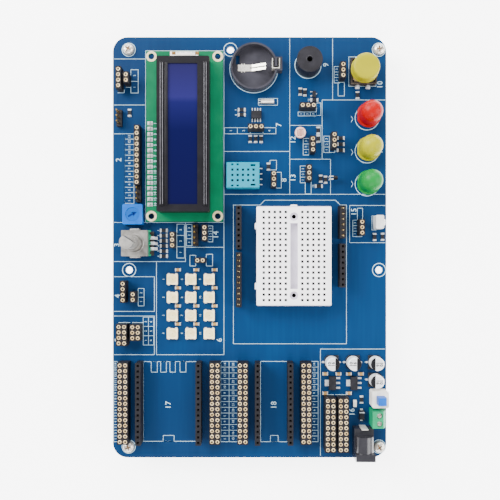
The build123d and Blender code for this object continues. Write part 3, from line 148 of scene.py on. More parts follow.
def pick(piece):
    """Select one object and nothing else"""
    bpy.ops.object.select_all(action="DESELECT")
    piece.select_set(True)
    bpy.context.view_layer.objects.active = piece
    return piece


def bake(piece):
    """Put an object's place and size into its mesh"""
    pick(piece)
    bpy.ops.object.transform_apply(location=True, rotation=True, scale=True)
    return piece


def carry(piece, matrix):
    """Move a finished shape, mesh and all"""
    piece.data.transform(matrix)
    piece.data.update()
    return piece


def block(width, depth, height, place=(0.0, 0.0, 0.0), edge=0.1, segments=1):
    """A moulded or cut block standing on its place, its edges broken"""
    bpy.ops.object.select_all(action="DESELECT")
    bpy.ops.mesh.primitive_cube_add(
        size=1, location=(mm(place[0]), mm(place[1]), mm(place[2] + height / 2)),
        scale=(mm(width), mm(depth), mm(height)),
    )
    piece = bake(bpy.context.object)
    if edge:
        rounding = piece.modifiers.new("edges", "BEVEL")
        rounding.width = mm(edge)
        rounding.segments = segments
        rounding.limit_method = "ANGLE"
        bpy.ops.object.modifier_apply(modifier="edges")
    return piece


def open_mesh(piece):
    """Edit one object's mesh, all of it selected"""
    pick(piece)
    bpy.ops.object.mode_set(mode="EDIT")
    bpy.ops.mesh.select_all(action="SELECT")


def close_mesh():
    """Turn all faces outwards and leave edit mode"""
    bpy.ops.mesh.select_all(action="SELECT")
    bpy.ops.mesh.normals_make_consistent(inside=False)
    bpy.ops.object.mode_set(mode="OBJECT")


def lathe(rings, sides=32, closed=False):
    """A solid raised from a disc through rings of (radius, height), as turning leaves it.

    A closed one starts from an empty circle and comes back to it.
    """
    radius, height = rings[0]
    bpy.ops.object.select_all(action="DESELECT")
    bpy.ops.mesh.primitive_circle_add(vertices=sides, radius=mm(radius), location=(0, 0, mm(height)),
                                      fill_type="NOTHING" if closed else "NGON")
    piece = bake(bpy.context.object)
    open_mesh(piece)
    for new_radius, new_height in rings[1:] + (rings[:1] if closed else []):
        bpy.ops.mesh.extrude_region_move(
            TRANSFORM_OT_translate={"value": (0, 0, mm(new_height - height))})
        factor = new_radius / radius
        bpy.ops.transform.resize(value=(factor, factor, 1), center_override=(0, 0, mm(new_height)))
        radius, height = new_radius, new_height
    if closed:
        bpy.ops.mesh.select_all(action="SELECT")
        bpy.ops.mesh.remove_doubles(threshold=1e-7)
    close_mesh()
    return piece


def hoop(rings, sides=32):
    """A closed ring whose section runs through (radius, height) points"""
    return lathe(rings, sides, closed=True)


def strip(points, width, thickness):
    """A flat strip bent through (x, z) points, as a lead or spring is"""
    bpy.ops.object.select_all(action="DESELECT")
    bpy.ops.mesh.primitive_plane_add(size=1, location=(mm(points[0][0]), 0, mm(points[0][1])),
                                     rotation=(0, radians(90), 0))
    bpy.context.object.scale = (mm(thickness), mm(width), 1)
    piece = bake(bpy.context.object)
    open_mesh(piece)
    for (x0, z0), (x1, z1) in zip(points, points[1:]):
        bpy.ops.mesh.extrude_region_move(
            TRANSFORM_OT_translate={"value": (mm(x1 - x0), 0, mm(z1 - z0))})
    close_mesh()
    return piece


def carve(piece, cutter):
    """Cut one shape out of another"""
    pick(piece)
    cut = piece.modifiers.new("cut", "BOOLEAN")
    cut.operation = "DIFFERENCE"
    cut.solver = "EXACT"
    cut.object = cutter
    bpy.ops.object.modifier_apply(modifier="cut")
    bpy.data.objects.remove(cutter)
    return piece


def copies(pattern, matrices):
    """Copies of a finished shape, each with its own mesh; the pattern itself is used up"""
    made = []
    for matrix in matrices:
        copy = bpy.data.objects.new(pattern.name, pattern.data.copy())
        bpy.context.scene.collection.objects.link(copy)
        made.append(carry(copy, matrix))
    bpy.data.objects.remove(pattern)
    return made


def together(pieces):
    """Join shapes into one piece"""
    bpy.ops.object.select_all(action="DESELECT")
    for piece in pieces:
        piece.select_set(True)
    bpy.context.view_layer.objects.active = pieces[0]
    if len(pieces) > 1:
        bpy.ops.object.join()
    return bpy.context.view_layer.objects.active


def repeat(pattern, places, height=0.0, turn=0.0):
    """A pattern copied to every place at one height and turn, joined"""
    return together(copies(pattern, [turned_at(place, height, turn) for place in places]))


def coat(piece, *materials):
    """Give a piece its finish, and further finishes for faces chosen later"""
    piece.data.materials.clear()
    for material in materials:
        piece.data.materials.append(material)
    return piece


def coat_where(piece, slot, test):
    """Give a further finish to the faces whose centre and normal pass a test"""
    for face in piece.data.polygons:
        if test(face.center * 1000, face.normal):
            face.material_index = slot
    return piece


def settle(piece, name, body="board", stands_for=(), smooth=32):
    """Name a finished piece, smooth it, and seat it on its body"""
    piece.name = name
    piece.data.name = name
    pick(piece)
    if smooth:
        bpy.ops.object.shade_smooth_by_angle(angle=radians(smooth))
    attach(piece, body)
    if stands_for:
        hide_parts(*stands_for)
    return piece


# Finishes

def add(tree, kind, inputs=None, links=None, **settings):
    """Add one node with its settings, socket values and links"""
    made = tree.nodes.new(kind)
    for key, value in settings.items():
        setattr(made, key, value)
    for key, value in (inputs or {}).items():
        made.inputs[key].default_value = value
    for key, (source, output) in (links or {}).items():
        tree.links.new(source.outputs[output], made.inputs[key])
    return made


def blend_stops(ramp, stops):
    """Set a colour ramp's stops"""
    band = ramp.color_ramp
    while len(band.elements) < len(stops):
        band.elements.new(0.5)
    for element, (position, colour) in zip(band.elements, stops):
        element.position = position
        element.color = colour


def blank(name):
    """A new material whose node tree is empty"""
    material = bpy.data.materials.new(name)
    material.use_nodes = True
    material.node_tree.nodes.clear()
    return material


# moulded and printed skins scatter most of their gloss, so little white lies over their colour
SOFT_SHINE = 0.14

SOCKETS = {
    "metallic": "Metallic", "ior": "IOR", "coat": "Coat Weight", "shine": "Specular IOR Level",
    "glow": "Subsurface Weight", "glow_scale": "Subsurface Scale",
    "lit": "Emission Strength", "lit_colour": "Emission Color",
}


def finish(name, base, shade, grain=0.3, relief=0.01, cloud=6.0, rough=(0.4, 0.5), stretch=(1, 1, 1),
           **shader):
    """A finish of two close colours drifting over a cloud size, with a grain's relief.

    base and shade are colours that linear takes; grain, relief and cloud are in millimetres;
    shader holds constants for the shader's own sockets.
    """
    if name in bpy.data.materials:
        return bpy.data.materials[name]
    material = blank(name)
    tree = material.node_tree
    coords = add(tree, "ShaderNodeTexCoord")
    mapped = add(tree, "ShaderNodeMapping", {"Scale": stretch}, {"Vector": (coords, "Object")})
    clouds = add(tree, "ShaderNodeTexNoise", {"Scale": 1000 / cloud, "Detail": 3.0},
                 {"Vector": (mapped, "Vector")})
    grains = add(tree, "ShaderNodeTexNoise", {"Scale": 1000 / grain, "Detail": 4.0, "Roughness": 0.6},
                 {"Vector": (mapped, "Vector")})
    tint = add(tree, "ShaderNodeValToRGB", None, {"Fac": (clouds, "Fac")})
    blend_stops(tint, [(0.32, linear(shade)), (0.68, linear(base))])
    dullness = add(tree, "ShaderNodeMapRange", {"To Min": rough[0], "To Max": rough[1]},
                   {"Value": (grains, "Fac")})
    bump = add(tree, "ShaderNodeBump", {"Strength": 0.5, "Distance": mm(relief)},
               {"Height": (grains, "Fac")})
    values = {"Specular IOR Level": SOFT_SHINE, **{SOCKETS[key]: value for key, value in shader.items()}}
    body = add(tree, "ShaderNodeBsdfPrincipled", values,
               {"Base Color": (tint, "Color"), "Roughness": (dullness, "Result"),
                "Normal": (bump, "Normal")})
    add(tree, "ShaderNodeOutputMaterial", None, {"Surface": (body, "BSDF")})
    return material


def board_enamel():
    """Epoxy solder mask over woven glass laminate, screen printed and cured.

    It gives a deep blue with a soft gloss, lighter over the copper pour and faintly ribbed where
    the tracks run under it.
    """
    name = "solder mask, cured epoxy on glass laminate"
    if name in bpy.data.materials:
        return bpy.data.materials[name]
    look = bpy.context.scene.board_look
    material = blank(name)
    tree = material.node_tree
    coords = add(tree, "ShaderNodeTexCoord")
    pour = add(tree, "ShaderNodeTexNoise", {"Scale": 1000 / 60, "Detail": 2.0},
               {"Vector": (coords, "Object")})
    tracks = add(tree, "ShaderNodeMapping", {"Scale": (1.0, 0.06, 1.0)}, {"Vector": (coords, "Object")})
    # cells about 1.8 mm wide, drawn out along the board as the hidden tracks are
    lanes = add(tree, "ShaderNodeTexVoronoi", {"Scale": 1000 / 1.8}, {"Vector": (tracks, "Vector")})
    weave = add(tree, "ShaderNodeTexNoise", {"Scale": 1000 / 0.5, "Detail": 2.0},
                {"Vector": (coords, "Object")})
    tint = add(tree, "ShaderNodeValToRGB", None, {"Fac": (pour, "Fac")})
    blend_stops(tint, [(0.3, linear(look.mask_deep)), (0.7, linear(look.mask))])
    lane_tint = add(tree, "ShaderNodeValToRGB", None, {"Fac": (lanes, "Distance")})
    blend_stops(lane_tint, [(0.25, linear("#ffffff")), (0.55, linear("#f3f7fa"))])
    mixed = add(tree, "ShaderNodeMix", None, None, data_type="RGBA", blend_type="MULTIPLY")
    mixed.inputs[0].default_value = 1.0
    tree.links.new(tint.outputs["Color"], mixed.inputs[6])
    tree.links.new(lane_tint.outputs["Color"], mixed.inputs[7])
    dullness = add(tree, "ShaderNodeMapRange", {"To Min": 0.28, "To Max": 0.42},
                   {"Value": (weave, "Fac")})
    relief = add(tree, "ShaderNodeBump", {"Strength": 0.15, "Distance": mm(0.02)},
                 {"Height": (lanes, "Distance")})
    body = add(tree, "ShaderNodeBsdfPrincipled", {"IOR": 1.5, "Specular IOR Level": 0.12},
               {"Roughness": (dullness, "Result"), "Normal": (relief, "Normal")})
    tree.links.new(mixed.outputs[2], body.inputs["Base Color"])
    add(tree, "ShaderNodeOutputMaterial", None, {"Surface": (body, "BSDF")})
    return material


def display_pane():
    """Polarised glass over a backlit crystal cell, unlit.

    It gives a deep navy, turned paler and violet towards the far end by a painted reflection, behind a hard
    gloss.
    """
    name = "display glass, polarised and polished"
    if name in bpy.data.materials:
        return bpy.data.materials[name]
    material = blank(name)
    tree = material.node_tree
    coords = add(tree, "ShaderNodeTexCoord")
    split = add(tree, "ShaderNodeSeparateXYZ", None, {"Vector": (coords, "Object")})
    along = add(tree, "ShaderNodeMapRange", {"From Min": mm(20), "From Max": mm(84)},
                {"Value": (split, "Y")})
    tint = add(tree, "ShaderNodeValToRGB", None, {"Fac": (along, "Result")})
    # painted reflection: the paler violet stops towards the far end
    blend_stops(tint, [(0.0, linear("#04042e")), (0.52, linear("#040532")), (0.72, linear("#111144")),
                       (0.76, linear("#1f1c50")), (1.0, linear("#1b1840"))])
    dust = add(tree, "ShaderNodeTexNoise", {"Scale": 1000 / 4, "Detail": 2.0},
               {"Vector": (coords, "Object")})
    dullness = add(tree, "ShaderNodeMapRange", {"To Min": 0.06, "To Max": 0.14},
                   {"Value": (dust, "Fac")})
    body = add(tree, "ShaderNodeBsdfPrincipled", {"IOR": 1.52, "Specular IOR Level": 0.22},
               {"Base Color": (tint, "Color"), "Roughness": (dullness, "Result")})
    add(tree, "ShaderNodeOutputMaterial", None, {"Surface": (body, "BSDF")})
    return material


def socket_black():
    """Glass filled nylon, moulded: a warm black with a dry, faintly mottled skin"""
    return finish("glass filled nylon, moulded black", "#1b191d", "#131114", 0.25, 0.02, 3.0,
                  (0.42, 0.6), shine=0.2)


def pale_gold():
    """Brass contact, stamped and flash gilded: cream edges where it turns to the light"""
    return finish("contact brass, stamped and gilded", "#e9d5ae", "#c8a874", 0.3, 0.005, 1.5,
                  (0.24, 0.4), metallic=0.35)


def tin():
    """Tin solder, dip and reflow: bright but rippled, greying towards its rim"""
    return finish("tin solder, reflowed", "#d9dcde", "#aeb2b6", 0.5, 0.05, 1.2, (0.24, 0.45),
                  metallic=0.35)


def bright_steel():
    """Nickel plated steel, turned: hard highlights over fine tool marks"""
    return finish("steel, turned and nickel plated", "#e4dfd6", "#c2bab0", 0.2, 0.01, 2.0,
                  (0.2, 0.36), stretch=(1, 1, 6), metallic=0.6)


def spring_steel():
    """Stainless strip, stamped and tumbled: an even satin silver"""
    return finish("stainless strip, stamped", "#ece8e0", "#d2cdc5", 0.25, 0.008, 3.0, (0.22, 0.34),
                  metallic=0.5)


def white_print():
    """Epoxy marking ink, screen printed: off white, a little thin at its edges"""
    return finish("marking ink, screen printed", "#bcd6e2", "#a6c6d6", 0.2, 0.01, 4.0, (0.5, 0.65))


def chip_black():
    """Moulding compound with silica, transfer moulded: dark grey, matt and finely pitted"""
    return finish("moulding compound, transfer moulded", "#232328", "#18181c", 0.15, 0.02, 2.0,
                  (0.45, 0.62), ior=1.54)


def hidden_dark():
    """Painted shade deep in a hole in moulded plastic: near black with no highlight; the button's rivets take
    the same near black
    """
    return finish("moulded plastic, deep in a hole", "#141214", "#0b0a0b", 0.4, 0.01, 2.0, (0.8, 0.95))


def cream_resin():
    """Silicone with phosphor over a colour pixel, dispensed: cream, waxy, softly lit inside"""
    return finish("silicone with phosphor, dispensed", "#f2dfb2", "#e3c98e", 0.6, 0.02, 2.0,
                  (0.32, 0.46), glow=0.2, glow_scale=mm(1.5))


def painted_steel():
    """Steel strip, stamped and stove painted: near black with an even low gloss"""
    return finish("steel strip, stamped and black painted", "#18171b", "#111014", 0.4, 0.008, 6.0,
                  (0.32, 0.45), ior=1.5)


def die_cast():
    """Zinc, die cast and tumbled: mid grey, softly pitted, with edges rubbed bright"""
    return finish("zinc, die cast and tumbled", "#a19e9a", "#7f7c78", 0.35, 0.03, 3.0, (0.3, 0.46),
                  metallic=0.6)


def light_guide():
    """Acrylic, moulded: milky white and smooth"""
    return finish("acrylic light guide, moulded", "#f4f1ea", "#e4e0d6", 0.6, 0.01, 4.0, (0.2, 0.35))


def phenolic():
    """Phenolic, moulded: black with a hard, slightly cloudy gloss"""
    return finish("phenolic, moulded", "#232227", "#1a191d", 0.3, 0.012, 4.0, (0.32, 0.45), ior=1.6)


def warm_black():
    """PBT, moulded: a brown black with a dry skin"""
    return finish("PBT, moulded black", "#39332f", "#2b2623", 0.3, 0.012, 3.0, (0.4, 0.52))


def potted_black():
    """Epoxy, potted: a black drop with a wet gloss"""
    return finish("epoxy, potted black", "#17171a", "#0f0f12", 0.5, 0.02, 3.0, (0.2, 0.3))


def lamp_epoxy(name, base, shade):
    """Tinted diffusing epoxy, cast: saturated and smooth, with one soft highlight"""
    return finish(name, base, shade, 1.2, 0.0004, 12.0, (0.36, 0.38), ior=1.52)


# What a user would change

def shade_of(name, description, code):
    """A colour setting whose default is an sRGB hex colour"""
    return FloatVectorProperty(name=name, description=description, default=linear(code)[:3],
                               subtype="COLOR", size=3, min=0.0, max=1.0)


def length_of(name, description, value):
    """A length setting given in millimetres"""
    return FloatProperty(name=name, description=description, default=mm(value), min=0.0,
                         precision=5, unit="LENGTH", subtype="DISTANCE")


class BoardLook(bpy.types.PropertyGroup):
    """Colours of the bare board"""
    mask: shade_of("Solder mask", "Blue over the copper pour", "#073159")
    mask_deep: shade_of("Deep mask", "Blue where no copper lies under it", "#0a294c")


class PrintSizes(bpy.types.PropertyGroup):
    """Sizes of the white print"""
    line: length_of("Line", "Width of a printed line", 0.2)
    film: length_of("Film", "Thickness of the ink", 0.02)
    numeral: length_of("Numeral", "Height of a pin numeral", 1.05)


class ContactSizes(bpy.types.PropertyGroup):
    """Sizes of the round contacts"""
    rim: length_of("Rim", "Radius of a contact's rim", 0.9)
    bore: length_of("Bore", "Radius of a contact's bore", 0.5)


class LampLook(bpy.types.PropertyGroup):
    """Colours of the three large lamps"""
    red: shade_of("Red", "Epoxy of the top lamp", "#9a0000")
    red_deep: shade_of("Deep red", "Drift in the top lamp's tint", "#940000")
    yellow: shade_of("Yellow", "Epoxy of the middle lamp", "#969200")
    yellow_deep: shade_of("Deep yellow", "Drift in the middle lamp's tint", "#918d00")
    green: shade_of("Green", "Epoxy of the bottom lamp", "#00742e")
    green_deep: shade_of("Deep green", "Drift in the bottom lamp's tint", "#006f2b")


# The white print: runs of straight lines through (x0, y0, x1, y1, x2, y2, ...)

PRINT_RUNS = [
    (-64.6, 89.6, -49.5, 89.6), (-64.6, 67.7, -49.5, 67.7), (-64.6, 54.0, -59.3, 54.0, -59.3, 20.9),
    (-64.6, 11.8, -12.2, 11.8), (-64.6, -6.8, -30.5, -6.8, -30.5, 11.8), (-30.5, 0.0, -12.2, 0.0),
    (-64.6, -14.0, -45.3, -14.0, -45.3, -30.5, -64.6, -30.5),
    (-64.6, -32.7, -45.3, -32.7, -45.3, -51.1, -64.6, -51.1),
    (-44.3, -6.8, -44.3, -51.1, -12.2, -51.1, -12.2, 93.5, -49.5, 93.5, -49.5, 11.8),
    (-12.2, 45.6, 19.1, 45.6), (-12.2, 25.2, 64.7, 25.2), (34.5, 41.9, 34.5, 70.1, 64.7, 70.1),
    (19.1, 58.0, 34.5, 58.0), (19.1, 41.9, 38.5, 41.9, 38.5, 25.1), (19.1, 99.2, 19.1, 25.1),
    (39.5, 99.2, 39.5, 70.0),
    (43.2, 20.1, 40.9, 22.4, 7.2, 22.4, 5.0, 20.1, -7.7, 20.1, -7.7, -45.9, 46.1, -45.9, 46.1,
     20.1, 43.2, 20.1),
    (64.7, -48.4, 33.7, -48.4, 33.7, -99.1), (64.7, 19.9, 47.6, 19.9, 47.6, 2.2, 64.7, 2.2),
    (-62.7, 73.5, -59.6, 73.5, -59.6, 74.9), (-58.8, 76.1, -56.5, 76.1),
    (60.2, 8.2, 58.2, 8.2, 58.2, 14.9, 60.2, 14.9), (48.4, 62.3, 49.2, 61.0, 48.4, 59.7),
    (48.4, 46.5, 49.2, 45.1, 48.4, 43.8), (48.4, 31.5, 49.2, 30.1, 48.4, 28.7),
    (-62.2, -35.8, -56.9, -35.8), (-55.8, -35.8, -50.8, -35.8), (34.7, -70.1, 40.0, -70.1),
    (40.9, -70.1, 46.4, -70.1),
]
# (x0, y0, x1, y1) of the outlines
PRINT_BOXES = [
    (-50.5, -54.4, -25.0, -92.3), (-41.1, -89.5, -35.9, -92.3), (5.2, -54.3, 18.2, -92.5),
    (9.9, -89.5, 13.6, -92.5), (-46.8, -54.4, -43.9, -59.4), (-42.3, -54.4, -39.6, -59.4),
    (-37.9, -54.4, -35.3, -59.4), (-33.1, -54.4, -30.3, -59.4), (-28.4, -3.8, -25.6, -8.9),
    (-20.6, -3.3, -17.6, -8.9), (9.7, 41.4, 12.8, 36.8), (12.6, 35.7, 15.1, 28.2),
    (32.1, 57.3, 33.8, 50.1), (26.5, 31.0, 29.3, 25.4), (31.8, 68.7, 33.9, 62.7),
    (42.1, 78.5, 45.1, 72.0), (51.3, 18.6, 53.8, 13.0), (47.2, 90.6, 60.1, 76.6),
    (4.2, 70.8, 13.3, 67.6),
]
# (x0, y0, x1, y1, columns, rows) of the ruled label tables
PRINT_TABLES = [
    (-13.7, -54.3, -5.8, -92.5, 2, 14), (29.0, -54.3, 32.6, -92.5, 1, 14),
    (-64.7, -54.3, -62.9, -92.5, 1, 14), (-59.3, 54.0, -55.0, 20.9, 1, 13),
    (-56.5, 84.5, -53.0, 73.4, 1, 2), (-34.6, 11.0, -31.0, -5.1, 1, 3),
    (-30.0, 10.9, -27.4, 0.7, 1, 3), (-53.0, -19.6, -50.2, -27.9, 1, 2),
    (-50.6, -33.2, -45.6, -46.5, 2, 3), (25.5, 51.8, 28.3, 43.9, 1, 3),
    (24.1, 38.7, 26.7, 30.7, 1, 3), (23.1, 64.4, 31.8, 62.5, 3, 1), (35.3, 52.9, 40.6, 45.1, 2, 3),
    (40.2, 86.0, 42.8, 78.2, 1, 3), (-19.8, 10.2, -17.5, 2.6, 1, 3),
    (-11.9, 56.9, 12.5, 54.0, 4, 1), (49.1, 12.9, 53.5, 5.1, 2, 3),
]
PRINT_RINGS = [(place, 3.3) for place in CORNER_SCREWS + SPARE_HOLES] + [
    (CELL, 11.6), ((27.8, 86.6), 6.4), ((55.9, 61.5), 5.85), ((55.9, 45.8), 5.85), ((55.9, 30.1), 5.85),
]


def straights(runs):
    """The straight lines of some runs, each as (x0, y0, x1, y1)"""
    return [run[i:i + 4] for run in runs for i in range(0, len(run) - 2, 2)]


def bar_between(x0, y0, x1, y1, width, film):
    """A matrix that lays a unit bar along a printed line"""
    run = Vector((x1 - x0, y1 - y0, 0))
    turn = run.to_2d().angle_signed(Vector((1, 0)), 0.0) if run.length else 0.0
    middle = ((x0 + x1) / 2, (y0 + y1) / 2)
    return (at(middle) @ Matrix.Rotation(turn, 4, "Z")
            @ Matrix.Diagonal((mm(run.length) + width, width, film, 1)))


class BOARD_OT_print(bpy.types.Operator):
    """Print the zones, rings and label tables on the board"""
    bl_idname = "board.print"
    bl_label = "Print"

    def execute(self, context):
        sizes = context.scene.print_sizes
        lines = straights(PRINT_RUNS)
        # a plain outline is a table of one cell
        for x0, y0, x1, y1, columns, rows in [box + (1, 1) for box in PRINT_BOXES] + PRINT_TABLES:
            for x in (x0 + (x1 - x0) * i / columns for i in range(columns + 1)):
                lines.append((x, y0, x, y1))
            for y in (y0 + (y1 - y0) * j / rows for j in range(rows + 1)):
                lines.append((x0, y, x1, y))
        bpy.ops.object.select_all(action="DESELECT")
        bpy.ops.mesh.primitive_cube_add(size=1, location=(0, 0, 0.5))
        bar = bake(context.object)
        # the ink slumps at its rim
        bpy.ops.object.mode_set(mode="EDIT")
        bpy.ops.mesh.select_all(action="DESELECT")
        bpy.ops.object.mode_set(mode="OBJECT")
        for face in bar.data.polygons:
            face.select = face.normal.z > 0.9
        bpy.ops.object.mode_set(mode="EDIT")
        bpy.ops.transform.resize(value=(1.0, 0.86, 1.0), center_override=(0, 0, 1))
        bpy.ops.object.mode_set(mode="OBJECT")
        coat(bar, white_print())
        made = copies(bar, [bar_between(*line, sizes.line, sizes.film) for line in lines])
        settle(together(made), "print_lines", smooth=0)
        rings = []
        for place, radius in PRINT_RINGS:
            inner = radius - 0.3
            ring = coat(hoop([(inner, 0), (inner, 0.02), (radius, 0.02), (radius, 0)], 48), white_print())
            rings.append(carry(ring, at(place)))
        settle(together(rings), "print_rings", smooth=0)
        return {"FINISHED"}


# numerals stand a little proud of the printed lines, and their heights are in millimetres
PRINT_LIFT = 0.012
ZONE_NUMERAL = 2.6
SMALL_NUMERAL = 0.95
# a figure is this much of the font's size
FIGURE_SHARE = 0.7


def numeral(text, height, bold=0.0):
    """A plain numeral, cut from the print film; bold widens its strokes"""
    bpy.ops.object.select_all(action="DESELECT")
    bpy.ops.object.text_add(location=(0, 0, 0))
    letters = bpy.context.object
    letters.data.body = text
    letters.data.size = mm(height) / FIGURE_SHARE
    letters.data.align_x = "CENTER"
    letters.data.align_y = "CENTER"
    letters.data.resolution_u = 2
    letters.data.offset = mm(bold)
    letters.data.extrude = mm(0.01)
    bpy.ops.object.convert(target="MESH")
    return bpy.context.object


class BOARD_OT_numerals(bpy.types.Operator):
    """Print plain pin numerals in the label tables and a number for each zone"""
    bl_idname = "board.numerals"
    bl_label = "Numerals"

    def execute(self, context):
        tall = context.scene.print_sizes.numeral * 1000
        spots = {}
        for x0, y0, x1, y1, columns, rows in PRINT_TABLES:
            for i in range(columns):
                for j in range(rows):
                    place = (x0 + (x1 - x0) * (i + 0.5) / columns, y0 + (y1 - y0) * (j + 0.5) / rows)
                    spots.setdefault((rows - j + i * rows, tall), []).append(place)
        # beside each pixel, can and chip stands a smaller numeral
        marks = [(k + 1, ZONE_NUMERAL, place) for k, place in enumerate(ZONES)]
        marks += [(k % 12 + 1, SMALL_NUMERAL, (x - 4.3, y)) for k, (x, y) in enumerate(PIXELS + CANS)]
        marks += [(k + 1, SMALL_NUMERAL, (x - 2.6, y)) for k, (x, y) in enumerate(CHIPS_ACROSS)]
        for number, height, place in marks:
            spots.setdefault((number, height), []).append(place)
        made = [repeat(coat(numeral(str(number), height), white_print()), places, PRINT_LIFT, 90)
                for (number, height), places in spots.items()]
        settle(together(made), "print_numerals", smooth=0)
        return {"FINISHED"}


# places of the zones' numbers, from zone 1 on
ZONES = [
    (-62.2, 84.4), (-62.2, 41.6), (-63.1, 1.1), (-62.7, -23.2), (-62.7, -44.1), (-14.3, -44.1),
    (14.0, 58.2), (16.4, 32.0), (36.4, 86.8), (62.1, 77.3), (62.1, 46.3), (20.7, 51.1),
    (20.7, 33.0), (-16.0, 5.9), (49.7, 16.8), (48.8, -78.4), (-38.6, -75.1), (11.6, -75.1),
]


class BOARD_OT_contacts(bpy.types.Operator):
    """Rim every round contact and leaf the square sockets"""
    bl_idname = "board.contacts"
    bl_label = "Contacts"

    def execute(self, context):
        sizes = context.scene.contact_sizes
        rim, bore = sizes.rim * 1000, sizes.bore * 1000
        contact = coat(hoop([(bore, -0.5), (bore, 0.05), (rim - 0.12, 0.09), (rim, -0.02)], 12), pale_gold())
        # painted shade: a near-black disc just inside each contact's bore
        depth = coat(lathe([(bore + 0.02, -0.2), (bore + 0.02, 0.03)], 12), hidden_dark())
        places = groups(CONTROLLER_STRIPS + POWER_STRIPS + MODULE_STRIPS)
        settle(repeat(together([contact, depth]), places, STRIP_HEIGHT), "round_contacts")
        # two sprung leaves stand in each long socket's mouth
        leaves = [strip([(side * x, z) for x, z in ((0.42, -0.12), (0.2, -0.5), (0.34, -1.2))], 0.62, 0.14)
                  for side in (-1, 1)]
        pair = coat(together(leaves), pale_gold())
        settle(repeat(pair, groups(SHIELD_SOCKETS[1:3]), SOCKET_HEIGHT), "shield_leaves")
        # a raised rim round each square mouth
        lip = carve(block(2.1, 2.1, 0.06, edge=0.02), block(1.14, 1.14, 1.0, (0, 0, -0.5), 0))
        coat(lip, socket_black())
        settle(repeat(lip, groups(SHIELD_SOCKETS + CONTROLLER_SOCKETS), SOCKET_HEIGHT - 0.01),
               "square_mouths", smooth=0)
        return {"FINISHED"}


class BOARD_OT_lamps(bpy.types.Operator):
    """Cast the three large lamps"""
    bl_idname = "board.lamps"
    bl_label = "Lamps"

    def execute(self, context):
        look = context.scene.lamp_look
        radius, shoulder = 5.0, 13.7
        rings = [(5.5, 5.0), (5.75, 5.25), (5.75, 6.2), (5.45, 6.5), (5.05, 6.6), (radius, shoulder)]
        rings += [(radius * cos(pi * k / 24), shoulder + 4.95 * sin(pi * k / 24)) for k in range(1, 12)]
        for colour, place, node, slot in (
            ("red", (55.6, 61.6), "red_lamp", "lamp_red"),
            ("yellow", (55.6, 45.9), "yellow_lamp", "lamp_yellow"),
            ("green", (55.6, 30.2), "green_lamp", "lamp_green"),
        ):
            # one side of the flange is ground flat to mark the cathode
            lamp = carve(lathe(rings + [(0.15, 18.65)], 40), block(2.0, 12, 1.8, (-6.25, 0, 4.9), 0))
            coat(lamp, lamp_epoxy("diffusing epoxy, cast " + colour, getattr(look, colour),
                                  getattr(look, colour + "_deep")))
            settle(carry(lamp, at(place)), colour + "_lens", stands_for=(node,))
        return {"FINISHED"}


class BOARD_OT_button(bpy.types.Operator):
    """Mould the push button's cap, its rivets and its solder tails"""
    bl_idname = "board.button"
    bl_label = "Button"

    def execute(self, context):
        x, y = BUTTON
        yellow = finish("ABS, moulded yellow", "#989200", "#908a00", 0.5, 0.01, 8.0, (0.3, 0.42), ior=1.53)
        cap = lathe([(6.1, 6.2), (6.5, 6.5), (6.5, 7.1), (6.3, 7.3), (6.2, 11.0), (5.95, 11.6), (5.5, 11.92),
                     (4.6, 12.0), (3.2, 11.96), (0.2, 11.93)], 48)
        settle(carry(coat(cap, yellow), at(BUTTON)), "button_top", body="button_head",
               stands_for=("button_cap",))
        foot = coat(block(2.1, 2.3, 0.8, edge=0.35, segments=2), tin())
        feet = [(x + sx * 2.5, y + sy * 6.5) for sx, sy in QUARTERS]
        settle(repeat(foot, feet), "button_feet")
        cover_top = top_of("button_cover")
        rivet = coat(lathe([(0.55, 0), (0.55, 0.12), (0.3, 0.25), (0.05, 0.28)], 12), hidden_dark())
        rivets = [(x + sx * 4.9, y + sy * 4.9) for sx, sy in QUARTERS]
        settle(repeat(rivet, rivets, cover_top - 0.02), "button_rivets")
        rim = carve(block(12.15, 12.15, 0.3, edge=0.08), block(10.2, 10.2, 1.0, (0, 0, -0.3), 0))
        settle(carry(coat(rim, warm_black()), at(BUTTON, cover_top - 0.22)), "button_rim")
        return {"FINISHED"}


class BOARD_OT_cans(bpy.types.Operator):
    """Draw the four capacitor cans with their marked segment"""
    bl_idname = "board.cans"
    bl_label = "Capacitor cans"

    def execute(self, context):
        # aluminium, drawn and lacquered: silvery with a soft sheen and white bloom
        drawn = finish("aluminium, drawn and lacquered", "#f4f5f6", "#e2e4e6", 0.3, 0.01, 3.0,
                       (0.28, 0.42), metallic=0.35)
        ink = finish("lacquer, pad printed black", "#141418", "#0d0d10", 0.3, 0.01, 2.0, (0.4, 0.55))
        can = lathe([(3.0, 0.95), (3.15, 1.1), (3.15, 1.9), (2.95, 2.15), (2.95, 2.4), (3.15, 2.7),
                     (3.15, 6.55), (3.02, 6.8), (2.8, 6.9), (2.62, 6.86), (2.55, 6.78), (0.1, 6.78)], 32)
        # the marked segment's edge
        edge = 0.95
        open_mesh(can)
        bpy.ops.mesh.bisect(plane_co=(mm(edge), 0, 0), plane_no=(1, 0, 0))
        bpy.ops.object.mode_set(mode="OBJECT")
        parts = [coat_where(coat(can, drawn, ink), 1, lambda c, n: c.x > edge and c.z > 6.5)]
        for x, text in ((-1.7, "10"), (0.05, "16")):
            mark = coat(numeral(text, 1.5, 0.06), ink)
            parts.append(carry(mark, Matrix.Translation((mm(x), 0, mm(6.82)))
                               @ Matrix.Rotation(pi / 2, 4, "Z")))
        parts += [coat(block(1.4, 0.9, 0.35, (side * 3.75, 0, 0), 0.12), tin()) for side in (-1, 1)]
        made = copies(together(parts), [turned_at(place, 0, turn)
                                        for place, turn in zip(CANS, (0, 0, 180, 180))])
        settle(together(made), "drawn_cans", stands_for=("capacitor_cans",))
        return {"FINISHED"}


